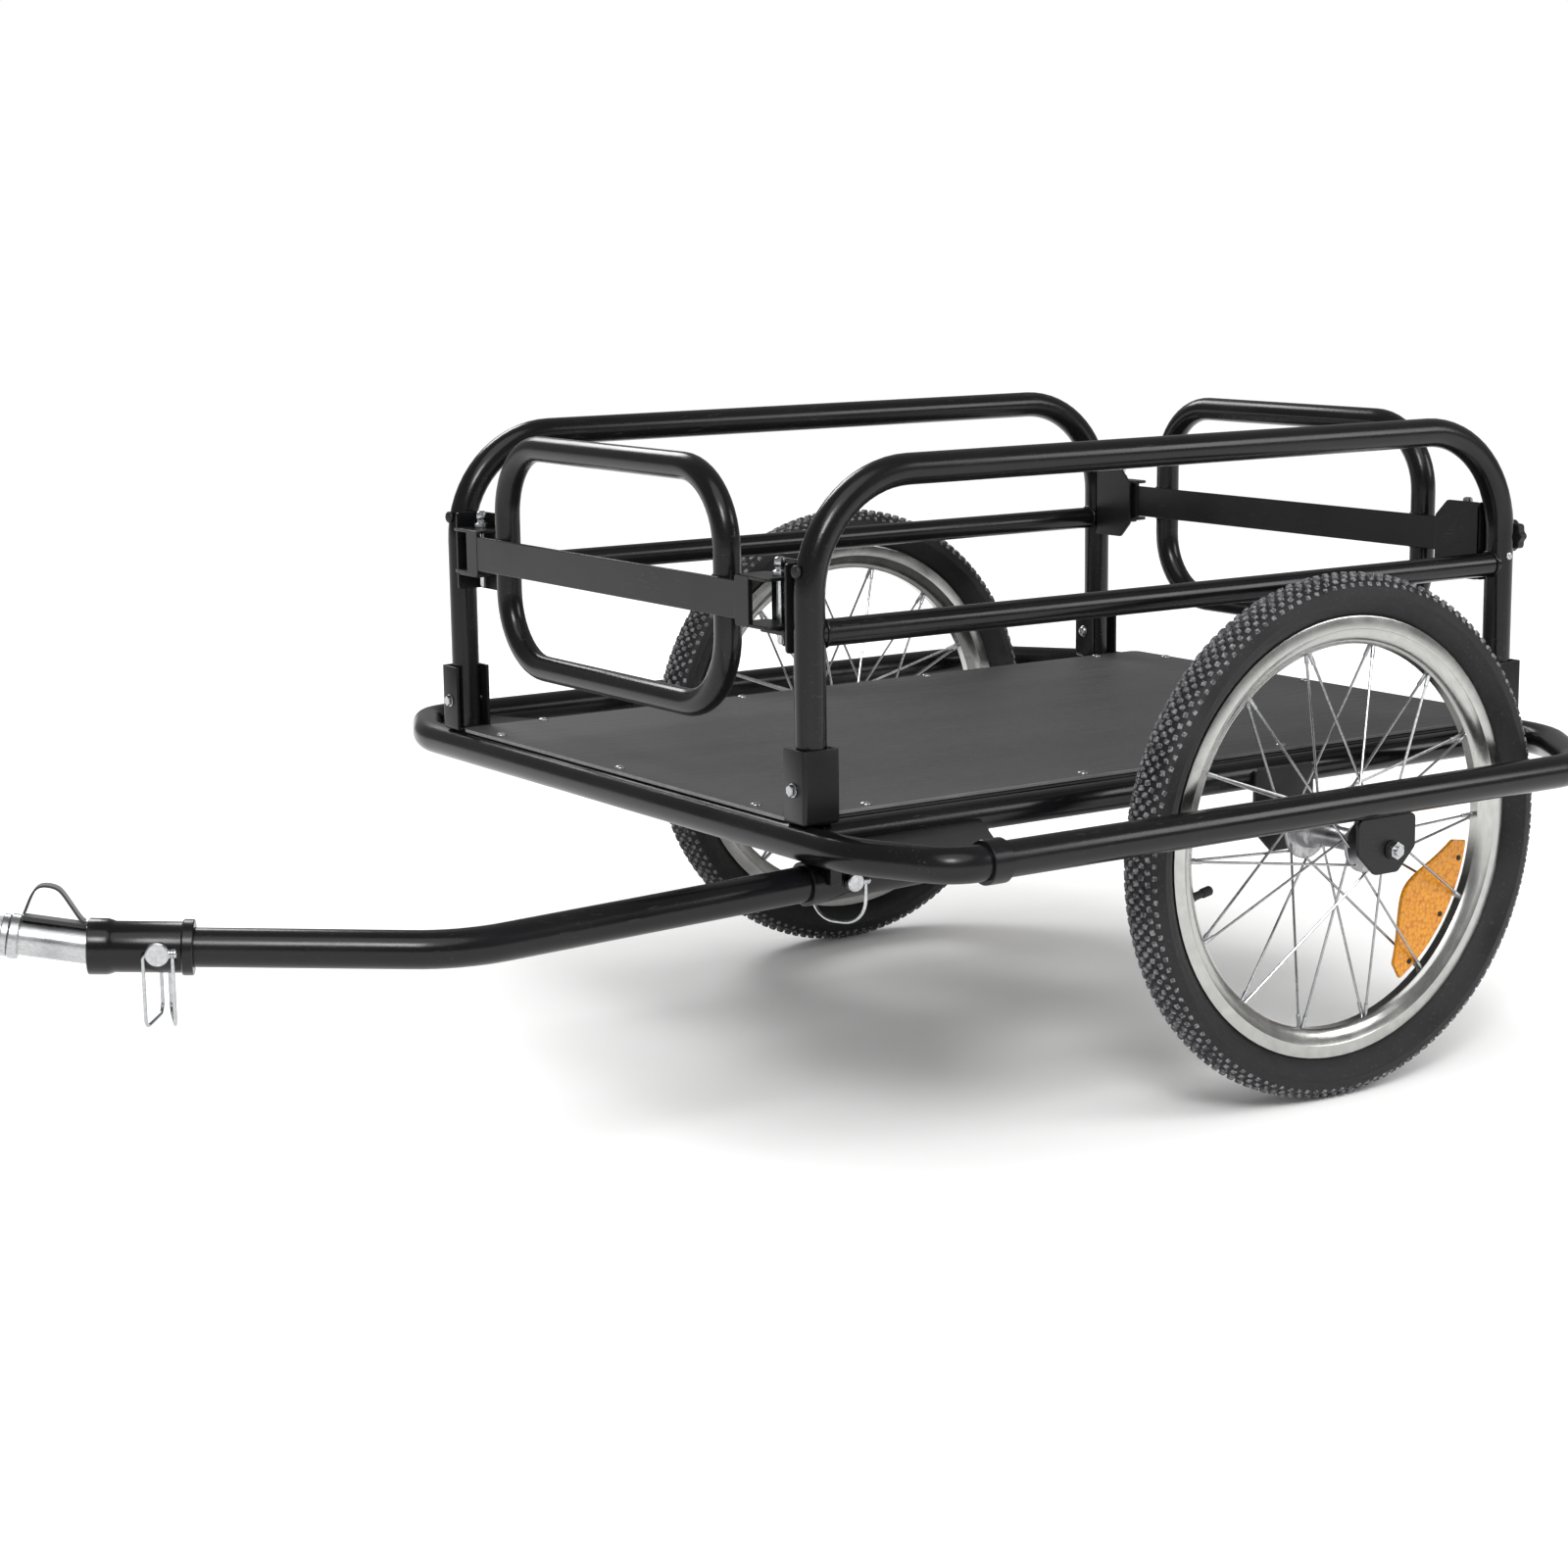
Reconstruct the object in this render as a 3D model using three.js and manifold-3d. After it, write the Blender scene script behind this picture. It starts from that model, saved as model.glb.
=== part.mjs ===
// Two-wheeled cargo trailer for a bicycle: steel tube guard frame round the wheels, flat bed,
// bent side arches, lift-out end gates held by drop pins, and a bent tow bar with a pinned hitch arm.
// Millimetres. X points forward along the tow bar, Y to the left side, Z up.
// Places are first given from the wheel axle's middle, at ground height; the last lines centre the whole.
import * as THREE from "three";
import { mergeVertices } from "three/addons/utils/BufferGeometryUtils.js";
import Module from "manifold-3d";

const wasm = await Module();
wasm.setup();

// Fits and section quality
const runningGap = 0.3;
const pinGap = 0.45;
const weldDepth = 1.5;
const overrun = 2;
const pointMerge = 0.001;
const tubeSides = 12;
const archSides = 10;
const rodSides = 8;
const wheelSides = 24;
const hubSides = 16;
const bendStepDegrees = 22.5;
const spokeSides = 3;

// Wheels and tyres
const wheelRadius = 250;
const wheelTrack = 808;
const tyreWidth = 47;
const tyreWall = 4.5;
const treadWidth = 14;
const shoulderDrop = 8;
const beadWall = 4;
const beadRise = 1;
const tyreHeight = 40;
const rimWidth = 25;
const rimWall = 2.5;
const rimSeatDrop = 6.5;
const rimSeatDepth = 3;
const rimHeight = 27;
const rimCrownWidth = 11;
const rimShoulderDrop = 14;
const hubFlangeRadius = 27;
const hubFlangeSpacing = 80;
const hubFlangeThick = 3.5;
const hubLength = 96;
const hubEndRadius = 14;
const hubBarrelRadius = 12;
const hubCollarRadius = 16;
const hubBarrelLength = 52;
const spokesPerFlange = 14;
const spokeCrossings = 2;
const spokeRadius = 1.15;
const spokeRimOffset = 2;
const axleRadius = 5;
const axleNutRadius = 9;
const axleNutLength = 8;
const axleEndLength = 3;
const reflectorRimGap = 10;
const reflectorDepth = 63;
const reflectorThick = 4.6;
const reflectorStartDegrees = 188;
const reflectorEndDegrees = 240;
const reflectorTaperShare = 0.28;

// Guard frame round the wheels
const guardRadius = 16;
const guardWall = 2;
const guardRise = 48;
const guardFrontX = 545;
const guardFrontInset = 90;
const guardEndFillet = 100;
const guardOutset = 71;
const guardFrontCornerX = 500;
const guardFrontSideFillet = 40;
const guardRearX = -345;
const guardRearInset = 125;
const guardRearCornerX = -250;
const guardRearSideFillet = 70;
const guardJointX = 462;
const sleeveLength = 20;
const sleeveWall = 2.7;
const gussetThick = 2;
const gussetRearInnerX = 362;
const gussetRearOuterX = 437;

// Bed frame and bed
const railRadius = 14;
const railWall = 1.8;
const railInset = 89;
const railRise = 2;
const crossTubeRadius = 12.5;
const crossTubeWall = 1.5;
const crossTubeX = 100;
const bedInset = 15;
const bedFrontX = 550;
const bedRearX = -350;
const bedThick = 3.7;
const bedCornerRadius = 12;

// Wheel carrier plates
const plateThick = 4;
const innerPlateWidth = 75;
const innerPlateDrop = 24;
const innerPlateRise = 10;
const outerPlateWidth = 72;
const outerPlateDrop = 22;
const plateTaperShare = 0.3;
const outerPlateX = 6;

// Posts, their feet and side arches
const postFrontX = 535;
const postRearX = -302;
const postRadius = 14;
const postWall = 1.8;
const archRise = 316.7;
const archBendRadius = 105;
const midRailRadius = 12;
const midRailWall = 1.5;
const midRailRise = 180.5;
const midRailVentRadius = 4;
const footWidth = 38;
const footDepth = 32;
const footWall = 3;
const footHeight = 66;
const postBoltRise = 30.7;
const postBoltRadius = 3;
const postBoltHeadRadius = 6.5;
const postBoltHeadLength = 4.5;

// Gates, their brackets and drop pins
const gateOffsetX = 9;
const gateTubeRadius = 12.5;
const gateTubeWall = 1.5;
const gateInset = 115;
const gateBottomRise = 100;
const gateTopDrop = 2.7;
const gateCornerRadius = 70;
const gateVentRadius = 2.5;
const gateBarHeight = 34;
const gateBarDrop = 109;
const gateBarThick = 4;
const gateBarInset = 65;
const gateEarHeight = 45;
const gateEarThick = 3;
const gateEarInnerInset = 79;
const gateEarOuterInset = 28;
const gateEarPlateInset = 57;
const gateEarPinMargin = 10;
const lugPlateThick = 3;
const lugPlateHeight = 78;
const lugPlateDrop = 3;
const lugWidth = 28;
const lugBackInset = 75;
const lugBackCorner = 16;
const lugEarInset = 57;
const lugEarThick = 4;
const dropPinInset = 44;
const dropPinRadius = 3.2;
const dropPinCollarRadius = 7;
const dropPinCollarLength = 4;
const dropPinGripRadius = 5;
const dropPinGripLength = 16;
const dropPinTail = 11;
const dropPinTip = 2;
const knobRadius = 16;
const knobLength = 13;
const knobCrownShare = 0.55;
const knobShankRadius = 5;
const knobShankLength = 9;
const knobRise = 5;

// Tow bar, socket, coupler and hitch arm
const towRadius = 16;
const towWall = 2.2;
const towRearX = 400;
const towRearInset = 13;
const towRearDrop = 36;
const towBendX = 880;
const towBendOutset = 3;
const towBendDrop = 46;
const towFrontX = 1140;
const towFrontInset = 137;
const towFrontDrop = 32;
const towBendRadius = 150;
const socketStart = 10;
const socketLength = 130;
const socketWall = 3;
const saddleLength = 12;
const saddleWidth = 30;
const saddleRise = 30;
const saddleInset = 14;
const socketPinAt = 100;
const couplerLength = 83;
const couplerEndGap = 1;
const couplerSeatLength = 10;
const couplerWall = 4;
const couplerCollarWall = 2;
const couplerCollarLength = 9;
const couplerPinAt = 27;
const hitchPinRadius = 4;
const hitchPinHeadRadius = 7.5;
const hitchPinHeadLength = 7;
const hitchPinTail = 3;
const bailWireRadius = 1.5;
const bailBendRadius = 6;
const bailTipGap = 0.5;
const socketBailDrop = 40;
const couplerBailDrop = 64;
const armRadius = 14.5;
const armWall = 2.5;
const armLength = 62;
const armBendRadius = 58;
const armRise = 8;
const armCollarRadius = 18;
const armCollarLength = 8;
const strapWidth = 12;
const strapThick = 2;
const strapArchHeight = 32;
const strapSteps = 22;

// Swivel, universal joint and axle plate at the arm's end
const swivelStemRadius = 11.2;
const swivelStemLength = 25;
const swivelFlangeRadius = 17;
const swivelFlangeThick = 6;
const swivelGap = 0.4;
const forkReach = 18;
const forkHalfGap = 9;
const forkThick = 4;
const forkHalfWidth = 9.4;
const yawPinRadius = 4;
const yawPinHeadRadius = 7;
const yawPinHeadLength = 3;
const blockRadius = 9;
const blockReach = 30;
const blockEnd = 8;
const pegRadius = 4;
const pegHeadRadius = 7;
const pegHeadLength = 3.5;
const axlePlateThick = 4;
const axlePlateHalfWidth = 9;
const axlePlateRise = 58;
const axleSlotRadius = 5.2;

// Finishes
function finish(color, roughness, metalness) {
  return new THREE.MeshStandardMaterial({ color, roughness, metalness });
}
const blackPaint = finish(0x15161a, 0.35, 0.2);
const bedPaint = finish(0x4a4a4c, 0.6, 0.1);
const zincSteel = finish(0xb9bcc0, 0.35, 0.9);
const bareAluminium = finish(0xc4c7ca, 0.3, 0.9);
const tyreRubber = finish(0x1c1c1e, 0.9, 0);
const amberPlastic = finish(0xe8890c, 0.25, 0);
const blackPlastic = finish(0x101012, 0.5, 0);
const blackWebbing = finish(0x17171a, 0.95, 0);

// Turning closed meshes into solids for joins and cuts, and back
function toSolid(geometry) {
  const bare = geometry.index ? geometry.toNonIndexed() : geometry.clone();
  bare.deleteAttribute("normal");
  bare.deleteAttribute("uv");
  const merged = mergeVertices(bare, pointMerge);
  return new wasm.Manifold(
    new wasm.Mesh({
      numProp: 3,
      vertProperties: merged.attributes.position.array,
      triVerts: new Uint32Array(merged.index.array),
    }),
  );
}

function toGeometry(solid) {
  const mesh = solid.getMesh();
  const geometry = new THREE.BufferGeometry();
  geometry.setAttribute("position", new THREE.BufferAttribute(mesh.vertProperties, mesh.numProp));
  geometry.setIndex(new THREE.BufferAttribute(mesh.triVerts, 1));
  geometry.computeVertexNormals();
  return geometry;
}

function join(...geometries) {
  return toGeometry(geometries.map(toSolid).reduce((whole, piece) => whole.add(piece)));
}

function cut(geometry, ...tools) {
  return toGeometry(tools.map(toSolid).reduce((whole, tool) => whole.subtract(tool), toSolid(geometry)));
}

// The vertex radius of a many-sided bore whose flats stay a gap away from a round of the given radius
function boreRadius(radius, gap, sides) {
  return (radius + gap) / Math.cos(Math.PI / sides);
}

function vector(x, y, z) {
  return new THREE.Vector3(x, y, z);
}

// A path of straight runs and round bends, kept as a list of stations
class BentPath extends THREE.Curve {
  constructor(stations) {
    super();
    this.stations = stations;
  }

  getSpacedPoints() {
    return this.stations.map((station) => station.point);
  }

  getTangentAt(share, target) {
    const index = Math.round(share * (this.stations.length - 1));
    return target.copy(this.stations[index].tangent);
  }
}

// Stations along corner points, each corner but the first and last rounded by its radius
function bentPath(corners, radii) {
  const last = corners.length - 1;
  const heading = (index) => corners[index + 1].clone().sub(corners[index]).normalize();
  const stations = [{ point: corners[0], tangent: heading(0) }];
  for (let index = 1; index < last; index += 1) {
    const before = heading(index - 1);
    const after = heading(index);
    const angle = before.angleTo(after);
    const axis = before.clone().cross(after).normalize();
    const radius = radii[index - 1];
    const start = corners[index].clone().addScaledVector(before, -radius * Math.tan(angle / 2));
    const centre = start.clone().addScaledVector(axis.clone().cross(before), radius);
    const steps = Math.max(2, Math.ceil(THREE.MathUtils.radToDeg(angle) / bendStepDegrees));
    for (let step = 0; step <= steps; step += 1) {
      const turn = (angle * step) / steps;
      const arm = start.clone().sub(centre).applyAxisAngle(axis, turn);
      stations.push({
        point: centre.clone().add(arm),
        tangent: before.clone().applyAxisAngle(axis, turn),
      });
    }
  }
  stations.push({ point: corners[last], tangent: heading(last - 1) });
  return new BentPath(stations);
}

function roundPoints(radius, sides) {
  return Array.from({ length: sides }, (unused, index) => {
    const angle = (2 * Math.PI * index) / sides;
    return new THREE.Vector2(radius * Math.cos(angle), radius * Math.sin(angle));
  });
}

// A tube or rod along a path; a wall of zero makes it solid
function tubeAlong(path, radius, wall, sides) {
  const section = new THREE.Shape(roundPoints(radius, sides));
  if (wall > 0) {
    section.holes.push(new THREE.Path(roundPoints(radius - wall, sides)));
  }
  const steps = path.stations.length - 1;
  return new THREE.ExtrudeGeometry(section, { steps, extrudePath: path });
}

// A closed ring of tube: the lids where the path meets itself are left off
function ringAlong(path, radius, sides) {
  const open = tubeAlong(path, radius, 0, sides);
  const walls = open.groups[1];
  const points = open.attributes.position.array.slice(3 * walls.start, 3 * (walls.start + walls.count));
  const ring = new THREE.BufferGeometry();
  ring.setAttribute("position", new THREE.BufferAttribute(points, 3));
  return ring;
}

function straightTube(from, to, radius, wall, sides) {
  return tubeAlong(bentPath([from, to], []), radius, wall, sides);
}

function rod(from, to, radius, sides) {
  return straightTube(from, to, radius, 0, sides);
}

// A block between two opposite corners
function block(xFrom, xTo, yFrom, yTo, zFrom, zTo) {
  const geometry = new THREE.BoxGeometry(xTo - xFrom, yTo - yFrom, zTo - zFrom);
  return geometry.translate((xFrom + xTo) / 2, (yFrom + yTo) / 2, (zFrom + zTo) / 2);
}

// A plate standing across Y, drawn in X and Z
function plateAcrossY(points, yFrom, yTo) {
  const outline = new THREE.Shape(points.map(([x, z]) => new THREE.Vector2(x, z)));
  const geometry = new THREE.ExtrudeGeometry(outline, { depth: yTo - yFrom, bevelEnabled: false });
  return geometry.rotateX(Math.PI / 2).translate(0, yTo, 0);
}

// A flat plate drawn in X and Y
function flatPlate(points, zFrom, zTo) {
  const outline = new THREE.Shape(points.map(([x, y]) => new THREE.Vector2(x, y)));
  const geometry = new THREE.ExtrudeGeometry(outline, { depth: zTo - zFrom, bevelEnabled: false });
  return geometry.translate(0, 0, zFrom);
}

// A turned piece about the Y axis; the profile is radius and place pairs, running up the outside
function turned(profile, sides) {
  return new THREE.LatheGeometry(profile.map(([radius, place]) => new THREE.Vector2(radius, place)), sides);
}

// The assembly, with one group for the main frame's places and one mirrored group for its right side
const trailer = new THREE.Group();
const leftSide = new THREE.Group();
const rightSide = new THREE.Group();
rightSide.scale.y = -1;
trailer.add(leftSide, rightSide);

function addMesh(parent, name, geometry, material) {
  const mesh = new THREE.Mesh(geometry, material);
  mesh.name = name;
  parent.add(mesh);
  return mesh;
}

function addPair(name, geometry, material) {
  addMesh(leftSide, name + "_left", geometry, material);
  addMesh(rightSide, name + "_right", geometry, material);
}

// Four copies of a piece drawn about a left post, mirrored to the rear and to the right
function addAtPosts(name, geometry, material) {
  for (const [side, group] of [["left", leftSide], ["right", rightSide]]) {
    for (const [end, x, facing] of [["front", postFrontX, 1], ["rear", postRearX, -1]]) {
      const mesh = addMesh(group, [name, end, side].join("_"), geometry, material);
      mesh.position.set(x, railY, 0);
      mesh.scale.x = facing;
    }
  }
}

// Widths that follow the wheel track: the rails stand inside the wheels and the guard frame outside them
const wheelY = wheelTrack / 2;
const railY = wheelY - railInset;
const guardSideY = wheelY + guardOutset;
const guardFrontY = guardSideY - guardFrontInset;
const guardRearY = guardSideY - guardRearInset;
const bedHalfWidth = railY - bedInset;

// Heights that follow the wheel: the guard frame lies above the axle and carries the rest
const guardHeight = wheelRadius + guardRise;
const railHeight = guardHeight + railRise;
const bedBottom = guardHeight + guardRadius + runningGap;
const archTopHeight = guardHeight + archRise;
const midRailHeight = guardHeight + midRailRise;
const postBoltHeight = bedBottom + postBoltRise;

// Heights that follow the side arches: the gates end level with them, the rest hangs from the gates' tops
const gateBottomHeight = guardHeight + gateBottomRise;
const gateTopHeight = archTopHeight - gateTopDrop;
const gateBarMiddleHeight = gateTopHeight - gateBarDrop;
const lugPlateMiddleHeight = gateBarMiddleHeight - lugPlateDrop;
const knobHeight = lugPlateMiddleHeight + knobRise;

// Guard frame: a front and a rear U of tube, butted inside two sleeves
const guardBore = boreRadius(guardRadius, runningGap, tubeSides);
const axisPoint = (x, y) => vector(x, y, guardHeight);

// One U from the right joint round an end of the frame to the left joint
function guardPath(jointX, cornerX, endX, endY, sideFillet) {
  const corners = [
    axisPoint(jointX, -guardSideY),
    axisPoint(cornerX, -guardSideY),
    axisPoint(endX, -endY),
    axisPoint(endX, endY),
    axisPoint(cornerX, guardSideY),
    axisPoint(jointX, guardSideY),
  ];
  return bentPath(corners, [sideFillet, guardEndFillet, guardEndFillet, sideFillet]);
}

// A sheet gusset that fills the front corner, its outer edge sunk into the tube's wall
function cornerGusset(path, side) {
  const inset = guardRadius - weldDepth;
  const edge = path.stations
    .filter((station) => side * station.point.y > railY + railRadius)
    .map((station) => {
      const inward = vector(-station.tangent.y, station.tangent.x, 0).multiplyScalar(inset);
      return [station.point.x + inward.x, station.point.y + inward.y];
    });
  const innerY = side * (railY + railRadius + runningGap);
  const outerY = side * (guardSideY - inset);
  const outline = [
    [guardFrontX - inset, innerY],
    [gussetRearInnerX, innerY],
    [gussetRearOuterX, outerY],
  ];
  const points = [...outline, ...(side > 0 ? edge.reverse() : edge)];
  const low = guardHeight - gussetThick / 2;
  const sleeveReach = sleeveLength / 2 + runningGap;
  const sideRod = (from, to, radius) => rod(
    axisPoint(from, side * guardSideY),
    axisPoint(to, side * guardSideY),
    radius,
    tubeSides,
  );
  const sleeveSpace = boreRadius(guardBore + sleeveWall, runningGap, tubeSides);
  return cut(
    flatPlate(points, low, low + gussetThick),
    sideRod(gussetRearInnerX, guardJointX, guardBore),
    sideRod(guardJointX - sleeveReach, guardJointX + sleeveReach, sleeveSpace),
  );
}

const frontPath = guardPath(
  guardJointX + runningGap / 2,
  guardFrontCornerX,
  guardFrontX,
  guardFrontY,
  guardFrontSideFillet,
);
const rearPath = guardPath(
  guardJointX - runningGap / 2,
  guardRearCornerX,
  guardRearX,
  guardRearY,
  guardRearSideFillet,
);

function buildGuard() {
  const [frontTube, rearTube] = [frontPath, rearPath].map((path) => (
    tubeAlong(path, guardRadius, guardWall, tubeSides)
  ));
  const gussets = [1, -1].map((side) => cornerGusset(frontPath, side));
  addMesh(trailer, "guard_frame_front", join(frontTube, ...gussets), blackPaint);
  addMesh(trailer, "guard_frame_rear", rearTube, blackPaint);
  const sleeve = straightTube(
    axisPoint(guardJointX - sleeveLength / 2, guardSideY),
    axisPoint(guardJointX + sleeveLength / 2, guardSideY),
    guardBore + sleeveWall,
    sleeveWall,
    tubeSides,
  );
  addPair("guard_sleeve", sleeve, blackPaint);
}

// Bed frame: two side rails and a cross tube, notched round the tubes they meet, and the bed sheet
function buildBedFrame() {
  const guardSpaces = [frontPath, rearPath].map((path) => tubeAlong(path, guardBore, 0, tubeSides));
  const rail = straightTube(
    vector(guardRearX, railY, railHeight),
    vector(guardFrontX, railY, railHeight),
    railRadius,
    railWall,
    tubeSides,
  );
  addPair("side_rail", cut(rail, ...guardSpaces), blackPaint);

  const crossHeight = railHeight + railRadius - crossTubeRadius;
  const cross = straightTube(
    vector(crossTubeX, -railY, crossHeight),
    vector(crossTubeX, railY, crossHeight),
    crossTubeRadius,
    crossTubeWall,
    tubeSides,
  );
  const railNotches = [-railY, railY].map((y) => rod(
    vector(crossTubeX - 2 * railRadius, y, railHeight),
    vector(crossTubeX + 2 * railRadius, y, railHeight),
    boreRadius(railRadius, runningGap, tubeSides),
    tubeSides,
  ));
  addMesh(trailer, "cross_tube", cut(cross, ...railNotches), blackPaint);
}

function roundedOutline(xFrom, xTo, yFrom, yTo, radius, steps) {
  const corners = [
    [xTo - radius, yTo - radius],
    [xFrom + radius, yTo - radius],
    [xFrom + radius, yFrom + radius],
    [xTo - radius, yFrom + radius],
  ];
  return corners.flatMap(([x, y], quarter) => Array.from({ length: steps + 1 }, (unused, step) => {
    const angle = (Math.PI / 2) * (quarter + step / steps);
    return [x + radius * Math.cos(angle), y + radius * Math.sin(angle)];
  }));
}

const bedTop = bedBottom + bedThick;

function buildBed() {
  const outline = roundedOutline(bedRearX, bedFrontX, -bedHalfWidth, bedHalfWidth, bedCornerRadius, 3);
  addMesh(trailer, "bed_panel", flatPlate(outline, bedBottom, bedTop), bedPaint);
}

// Wheel carrier plates beside each wheel, with the axle through them
const innerPlateY = railY + railRadius + runningGap;
const axleBore = boreRadius(axleRadius, pinGap, rodSides);

function carrierPlate(middleX, width, drop, top, yFrom) {
  const taper = width * plateTaperShare;
  const bottom = wheelRadius - drop;
  const points = [
    [middleX - width / 2 + taper, bottom],
    [middleX + width / 2 - taper, bottom],
    [middleX + width / 2, bottom + taper],
    [middleX + width / 2, top],
    [middleX - width / 2, top],
    [middleX - width / 2, bottom + taper],
  ];
  const plate = plateAcrossY(points, yFrom, yFrom + plateThick);
  const hole = rod(
    vector(0, yFrom - overrun, wheelRadius),
    vector(0, yFrom + plateThick + overrun, wheelRadius),
    axleBore,
    rodSides,
  );
  return cut(plate, hole);
}

function buildWheelPlates() {
  const outerTop = guardHeight - guardRadius - runningGap;
  const outerY = guardSideY - plateThick / 2;
  addPair(
    "wheel_plate_inner",
    carrierPlate(0, innerPlateWidth, innerPlateDrop, guardHeight + innerPlateRise, innerPlateY),
    blackPaint,
  );
  addPair(
    "wheel_plate_outer",
    carrierPlate(outerPlateX, outerPlateWidth, outerPlateDrop, outerTop, outerY),
    blackPaint,
  );
}

// Rim radii that follow the wheel's radius
const rimRadius = wheelRadius - tyreHeight;
const rimSeatRadius = rimRadius - rimSeatDrop;
const rimInnerRadius = rimRadius - rimHeight;

// Tyre: an open casing whose beads sit on the rim's seats, drawn from the wheel's middle plane
function tyreProfile() {
  const beadRadius = rimSeatRadius + runningGap;
  const beadTop = rimRadius + beadRise;
  const half = tyreWidth / 2;
  const bead = rimWidth / 2 - rimWall - runningGap;
  const widest = (wheelRadius + beadTop) / 2;
  const outer = [
    [beadRadius, bead],
    [beadTop, bead],
    [(beadTop + widest) / 2, half - tyreWall / 2],
    [widest, half],
    [wheelRadius - shoulderDrop, half - tyreWall],
    [wheelRadius, treadWidth / 2],
  ];
  const inner = [
    [wheelRadius - tyreWall, treadWidth / 2],
    [widest, half - tyreWall],
    [beadTop + tyreWall, half - 2 * tyreWall],
    [beadTop, bead - beadWall],
    [beadRadius, bead - beadWall],
  ];
  const mirrored = (points) => points.map(([radius, place]) => [radius, -place]);
  const casing = [...mirrored(outer), ...outer.toReversed()];
  const hollow = [...inner.toReversed(), ...mirrored(inner)];
  return [...casing, ...hollow, casing[0]];
}

// Rim: a deep single-wall section with seats for the tyre's beads
function rimProfile() {
  const half = rimWidth / 2;
  const inside = half - rimWall;
  const crown = rimCrownWidth / 2;
  const side = [
    [rimInnerRadius, crown],
    [rimRadius - rimShoulderDrop, half],
    [rimRadius, half],
    [rimRadius, inside],
    [rimSeatRadius, inside],
    [rimSeatRadius, inside - rimSeatDepth],
    [rimInnerRadius + rimWall, crown - rimWall / 2],
  ];
  const flipped = side.map(([radius, place]) => [radius, -place]).reverse();
  return [...side, ...flipped, side[0]].reverse();
}

function hubProfile() {
  const end = hubLength / 2;
  const flange = hubFlangeSpacing / 2;
  const bore = boreRadius(axleRadius, pinGap, hubSides);
  const half = [
    [hubBarrelRadius, hubBarrelLength / 2],
    [hubCollarRadius, flange - hubFlangeThick / 2],
    [hubFlangeRadius, flange - hubFlangeThick / 2],
    [hubFlangeRadius, flange + hubFlangeThick / 2],
    [hubEndRadius, flange + hubFlangeThick / 2],
    [hubEndRadius, end],
    [bore, end],
  ];
  const flipped = half.map(([radius, place]) => [radius, -place]).reverse();
  return [...flipped, ...half, flipped[0]];
}

// Spokes of one flange: leading and trailing spokes that touch where they cross
function spokeSet(side) {
  const pitch = (2 * Math.PI) / spokesPerFlange;
  const hubReach = hubFlangeRadius + runningGap + spokeRadius;
  const rimReach = rimInnerRadius * Math.cos(Math.PI / wheelSides) - runningGap - spokeRadius / 2;
  const at = (radius, angle, place) => vector(
    radius * Math.cos(angle),
    side * place,
    radius * Math.sin(angle),
  );
  const spokes = Array.from({ length: spokesPerFlange }, (unused, index) => {
    const sweep = (index % 2 === 0 ? spokeCrossings : -spokeCrossings) * pitch;
    const start = at(hubReach, index * pitch, hubFlangeSpacing / 2);
    const finish = at(rimReach, index * pitch + sweep, spokeRimOffset);
    return rod(start, finish, spokeRadius, spokeSides);
  });
  return join(...spokes);
}

function axleGeometry() {
  const innerFace = innerPlateY - wheelY;
  const outerFace = guardSideY + plateThick / 2 - wheelY;
  const coneStart = hubLength / 2 + pinGap;
  const innerSeat = -innerFace - plateThick - runningGap;
  const outerSeat = outerFace - plateThick - runningGap;
  const profile = [
    [0, innerFace - runningGap - axleNutLength - axleEndLength],
    [axleRadius, innerFace - runningGap - axleNutLength - axleEndLength],
    [axleRadius, innerFace - runningGap - axleNutLength],
    [axleNutRadius, innerFace - runningGap - axleNutLength],
    [axleNutRadius, innerFace - runningGap],
    [axleRadius, innerFace - runningGap],
    [axleRadius, -innerSeat],
    [axleNutRadius, -innerSeat],
    [axleNutRadius, -coneStart],
    [axleRadius, -coneStart],
    [axleRadius, coneStart],
    [axleNutRadius, coneStart],
    [axleNutRadius, outerSeat],
    [axleRadius, outerSeat],
    [axleRadius, outerFace + runningGap],
    [axleNutRadius, outerFace + runningGap],
    [axleNutRadius, outerFace + runningGap + axleNutLength],
    [axleRadius, outerFace + runningGap + axleNutLength],
    [axleRadius, outerFace + runningGap + axleNutLength + axleEndLength],
    [0, outerFace + runningGap + axleNutLength + axleEndLength],
  ];
  return turned(profile, rodSides);
}

// Crescent reflector held between the two spoke sets, below and behind the axle
function reflectorGeometry() {
  const steps = 8;
  const start = THREE.MathUtils.degToRad(reflectorStartDegrees);
  const end = THREE.MathUtils.degToRad(reflectorEndDegrees);
  const outerRadius = rimInnerRadius - reflectorRimGap;
  const outer = [];
  const inner = [];
  for (let step = 0; step <= steps; step += 1) {
    const share = step / steps;
    const angle = start + (end - start) * share;
    const swell = reflectorTaperShare + (1 - reflectorTaperShare) * Math.sin(Math.PI * share);
    const reach = outerRadius - reflectorDepth * swell;
    outer.push([outerRadius * Math.cos(angle), outerRadius * Math.sin(angle)]);
    inner.push([reach * Math.cos(angle), reach * Math.sin(angle)]);
  }
  return plateAcrossY([...outer, ...inner.reverse()], -reflectorThick / 2, reflectorThick / 2);
}

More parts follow.
